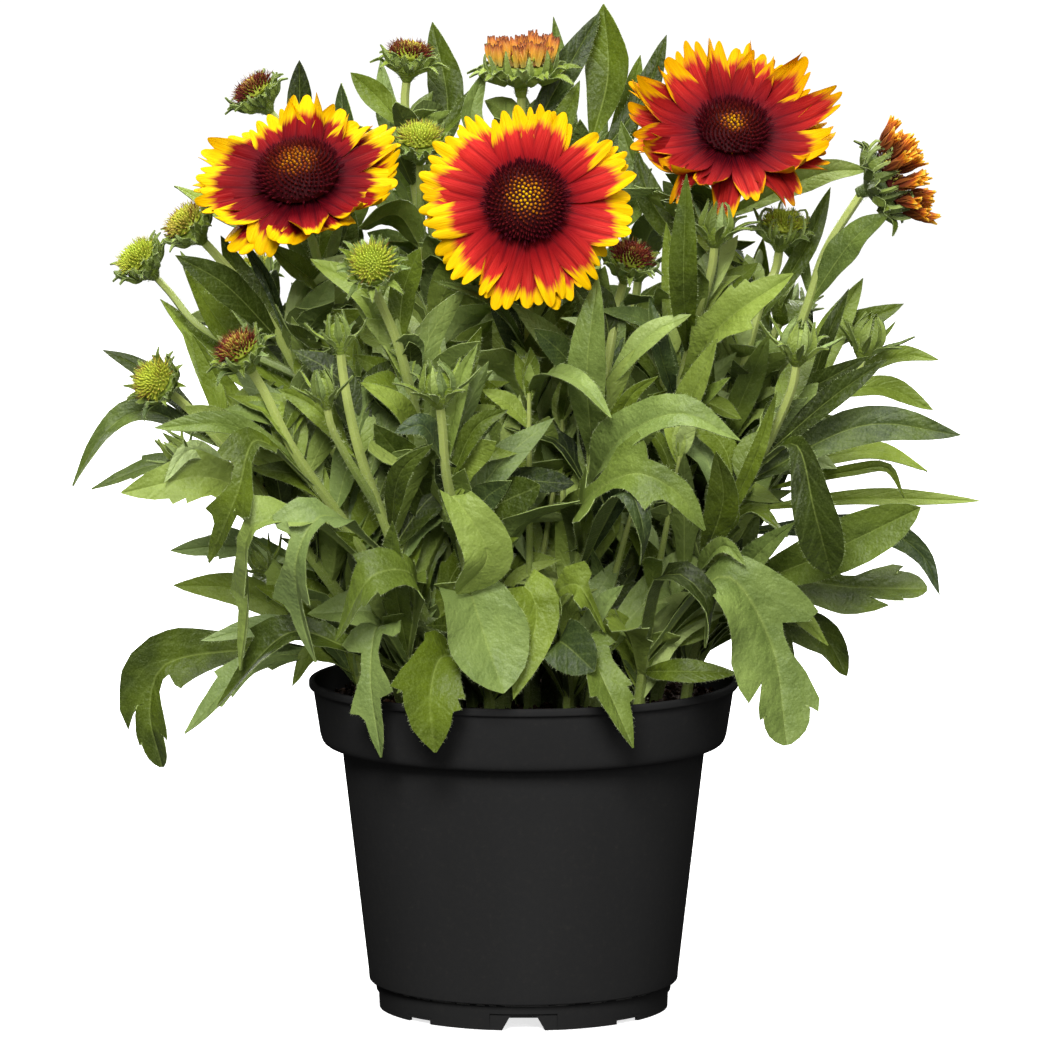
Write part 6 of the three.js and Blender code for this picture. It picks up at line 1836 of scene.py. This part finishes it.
# Leaves with a shape of their own: stem, outline and width in the solid model, then the outline
# here, how much fuller, shift and tone.
STAY = (0, 0, 0)
SHAPED = {
    ("basal_leaves_right_front", "cut", 30): ("oak", 1.36, STAY, 0.51),
    ("basal_leaves_right_front", "toothed", 24): ("lance", 0.6, (-8, 14, 6), 0.2),
    ("stem_low_left_bud", "toothed", 15): ("oak", 1.75, (5, 0, -8), 0.28),
    ("basal_leaves_right", "toothed", 16): ("oak", 2, (0, 0, 2), 0.28),
    ("basal_leaves_right", "lance", 10): ("spoon", 1.6, (-24, -14, 4), 0.28),
    ("basal_leaves_front_left", "lance", 12): ("toothed", 1.7, (0, 0, -4), 0.22),
    ("basal_leaves_left", "lance", 10): ("toothed", 1.7, (3, 0, -2), 0.57),
    ("stem_right_green_bud", "lance", 14.5): ("lance", 1.05, STAY, 0.26),
    ("basal_leaves_right", "spoon", 20): ("spoon", 1.1, STAY, 0.42),
    ("basal_leaves_front", "spoon", 21): ("spoon", 1.62, (5, -7, 0), 0.54),
    ("basal_leaves_front", "spoon", 23): ("lance", 0.8, (4, 3, 0), 0.5),
    ("basal_leaves_front", "toothed", 27): ("toothed", 1.34, STAY, 0.41),
    ("basal_leaves_front_left", "toothed", 17): ("toothed", 1.4, STAY, 0.42),
    ("basal_leaves_front_left", "cut", 17): ("cut", 1.45, STAY, 0.54),
    ("basal_leaves_front_right", "toothed", 17): ("toothed", 1.34, STAY, 0.45),
    ("stem_left_maroon_bud", "toothed", 17): ("cut", 1.5, STAY, 0.64),
    ("stem_small_left_buds", "cut", 22): ("cut", 1.4, STAY, 0.57),
    ("stem_front_green_bud", "ribbon", 15): ("spoon", 1.35, STAY, 0.61),
    ("stem_behind_middle_bud", "cut", 22): ("cut", 1.5, STAY, 0.45),
    ("stem_behind_middle_bud", "lance", 17): ("lance", 1.15, STAY, 0.51),
}
# More leaves: stem, height, outline, width, then its middle and tip as [across, up, depth].
MORE_LEAVES = [
    ("stem_right_curled_bud", 236, "lance", 15, (91, 272, 16), (94, 306, 20)),
    ("stem_right_curled_bud", 228, "lance", 13, (80, 262, 22), (82, 296, 26)),
    ("stem_far_right_bud", 224, "lance", 14, (118, 262, 8), (134, 290, 10)),
    ("stem_far_right_bud", 216, "lance", 13, (106, 250, 14), (113, 284, 20)),
    ("stem_far_left_buds", 238, "lance", 13, (-116, 268, -4), (-135, 299, -6)),
    ("stem_far_left_buds", 228, "lance", 12, (-124, 262, 4), (-143, 282, 6)),
    ("stem_left_yellow_bud", 196, "lance", 15, (-114, 236, -6), (-131, 268, -8)),
    ("stem_middle_right_bud", 236, "lance", 11, (60, 276, -10), (56, 312, -12)),
]


def leaf_tone(points, draw):
    middle = points[len(points) // 2]
    front = np.clip(-middle[1] / 100, 0, 1)
    low = np.clip((260 - middle[2]) / 120, 0, 1)
    # One leaf in five is painted a brighter yellow-green: painted light, as if shining through it from
    # behind.
    bright = 0.28 if draw.uniform() < 0.2 else 0
    # Leaves low at the front, which the front lamp lights most, are painted a little darker: painted shade.
    return float(np.clip(0.44 - 0.05 * front * low + bright + draw.uniform(-0.38, 0.28), 0.02, 1.0))


def make_green(stem, number, surface):
    """One leafy stem, with its side stems, calyxes and leaves."""
    draw = np.random.default_rng(1000 + number)
    growth = Growth()
    rib = stem_rib(stem)
    add_stem(growth, rib, STEM_FOOT_RADIUS, STEM_NECK_RADIUS, draw)
    for fork in stem["forks"]:
        add_stem(growth, fork_rib(fork, rib), STEM_NECK_RADIUS * 1.05, STEM_NECK_RADIUS * 0.8, draw)
    for top in heads_of(stem):
        add_calyx(growth, top, draw, stem["name"] in CURLED, CALYX_TONES.get(top.get("name"), CALYX_TONE))
    for points, face, outline, width in leaf_spots(stem, rib):
        tone = leaf_tone(points, draw)
        fuller = 1.34 if outline in ("cut", "toothed") else 1.1
        key = (stem["name"], outline, width)
        if outline == "grown" and draw.uniform() < 0.5:
            outline = "notched"
        if key in SHAPED:
            outline, fuller, shift, tone = SHAPED[key]
            points = points + np.linspace(0, 1, len(points))[:, None] ** 0.5 * shift
        add_blade(growth, BLANKS[outline], points, width * fuller, face, draw, tone)
    for name, height, outline, width, middle, tip in MORE_LEAVES:
        if name == stem["name"]:
            points = np.array([rib.at_height(height), place(middle), place(tip)])
            add_blade(growth, BLANKS[outline], points, width, HAND_FACE, draw, leaf_tone(points, draw))
    for points, face, width, share in fill_leaves(rib, surface, draw):
        blank = FILL_BLANKS[int(draw.integers(2 if share > 0.5 else 4))]
        add_blade(growth, blank, points, width, face, draw, leaf_tone(points, draw), hairs=0.5)
    growth.make(f"green_{stem['name']}", GREEN, [stem["name"]])


def make_shoots():
    """Young stems that stand close together in the middle of the plant, with small leaves."""
    draw = np.random.default_rng(77)
    growth = Growth()
    for i in range(30):
        x, y, high = (i - 14.5) * 4.6 + draw.uniform(-3, 3), draw.uniform(-46, -6), draw.uniform(185, 262)
        rib = Rib([(x * 0.6, y * 0.75, SOIL_TOP - 6), (x * 0.8 + draw.uniform(-3, 3), y, 160),
                   (x * 1.1 + draw.uniform(-6, 6), y * 1.35, high)])
        if hides_head(rib.line[-1] + UP * 12):
            continue
        add_stem(growth, rib, draw.uniform(1.7, 2.5), 0.8, draw, hairs=4)
        for share in (0.5, 0.66, 0.8, 0.9, 0.97, 0.98, 0.99, 0.995, 1):
            root = rib.at([share])[0]
            heading = draw.uniform(0, FULL_TURN)
            rises, lengths, falls = (((1.1, 1.5), (12, 24), (-0.3, 0.4)) if share > 0.95
                                     else ((0.8, 1.3), (18, 34), (0.1, 0.9)))
            points = arch_points(root, heading, *(draw.uniform(*some) for some in (rises, lengths, falls)))
            if not hides_head(points[-1]):
                add_blade(growth, FILL_BLANKS[0], points, draw.uniform(4.5, 8), arch_face(heading, -1), draw,
                          draw.uniform(0.3, 0.95))
    growth.make("green_shoots_middle", GREEN)


def heads_like(kind):
    return enumerate(top for top in ALL_HEADS if top["kind"] == kind)


make_pot()
make_soil()
solids = surface_of(*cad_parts.values())
for number, each in enumerate(STEMS):
    make_green(each, number, solids)
make_shoots()
for number, bloom in heads_like("bloom"):
    make_petals(bloom, 40 + number)
    make_disc(bloom, 50 + number)
for number, opening in heads_like("opening"):
    make_rays(opening, 60 + number)
for number, bud in heads_like("button"):
    make_button(bud, number + 1)

plain = [[list(map(float, corner)) for corner in box] for box in (cad_box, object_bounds())]
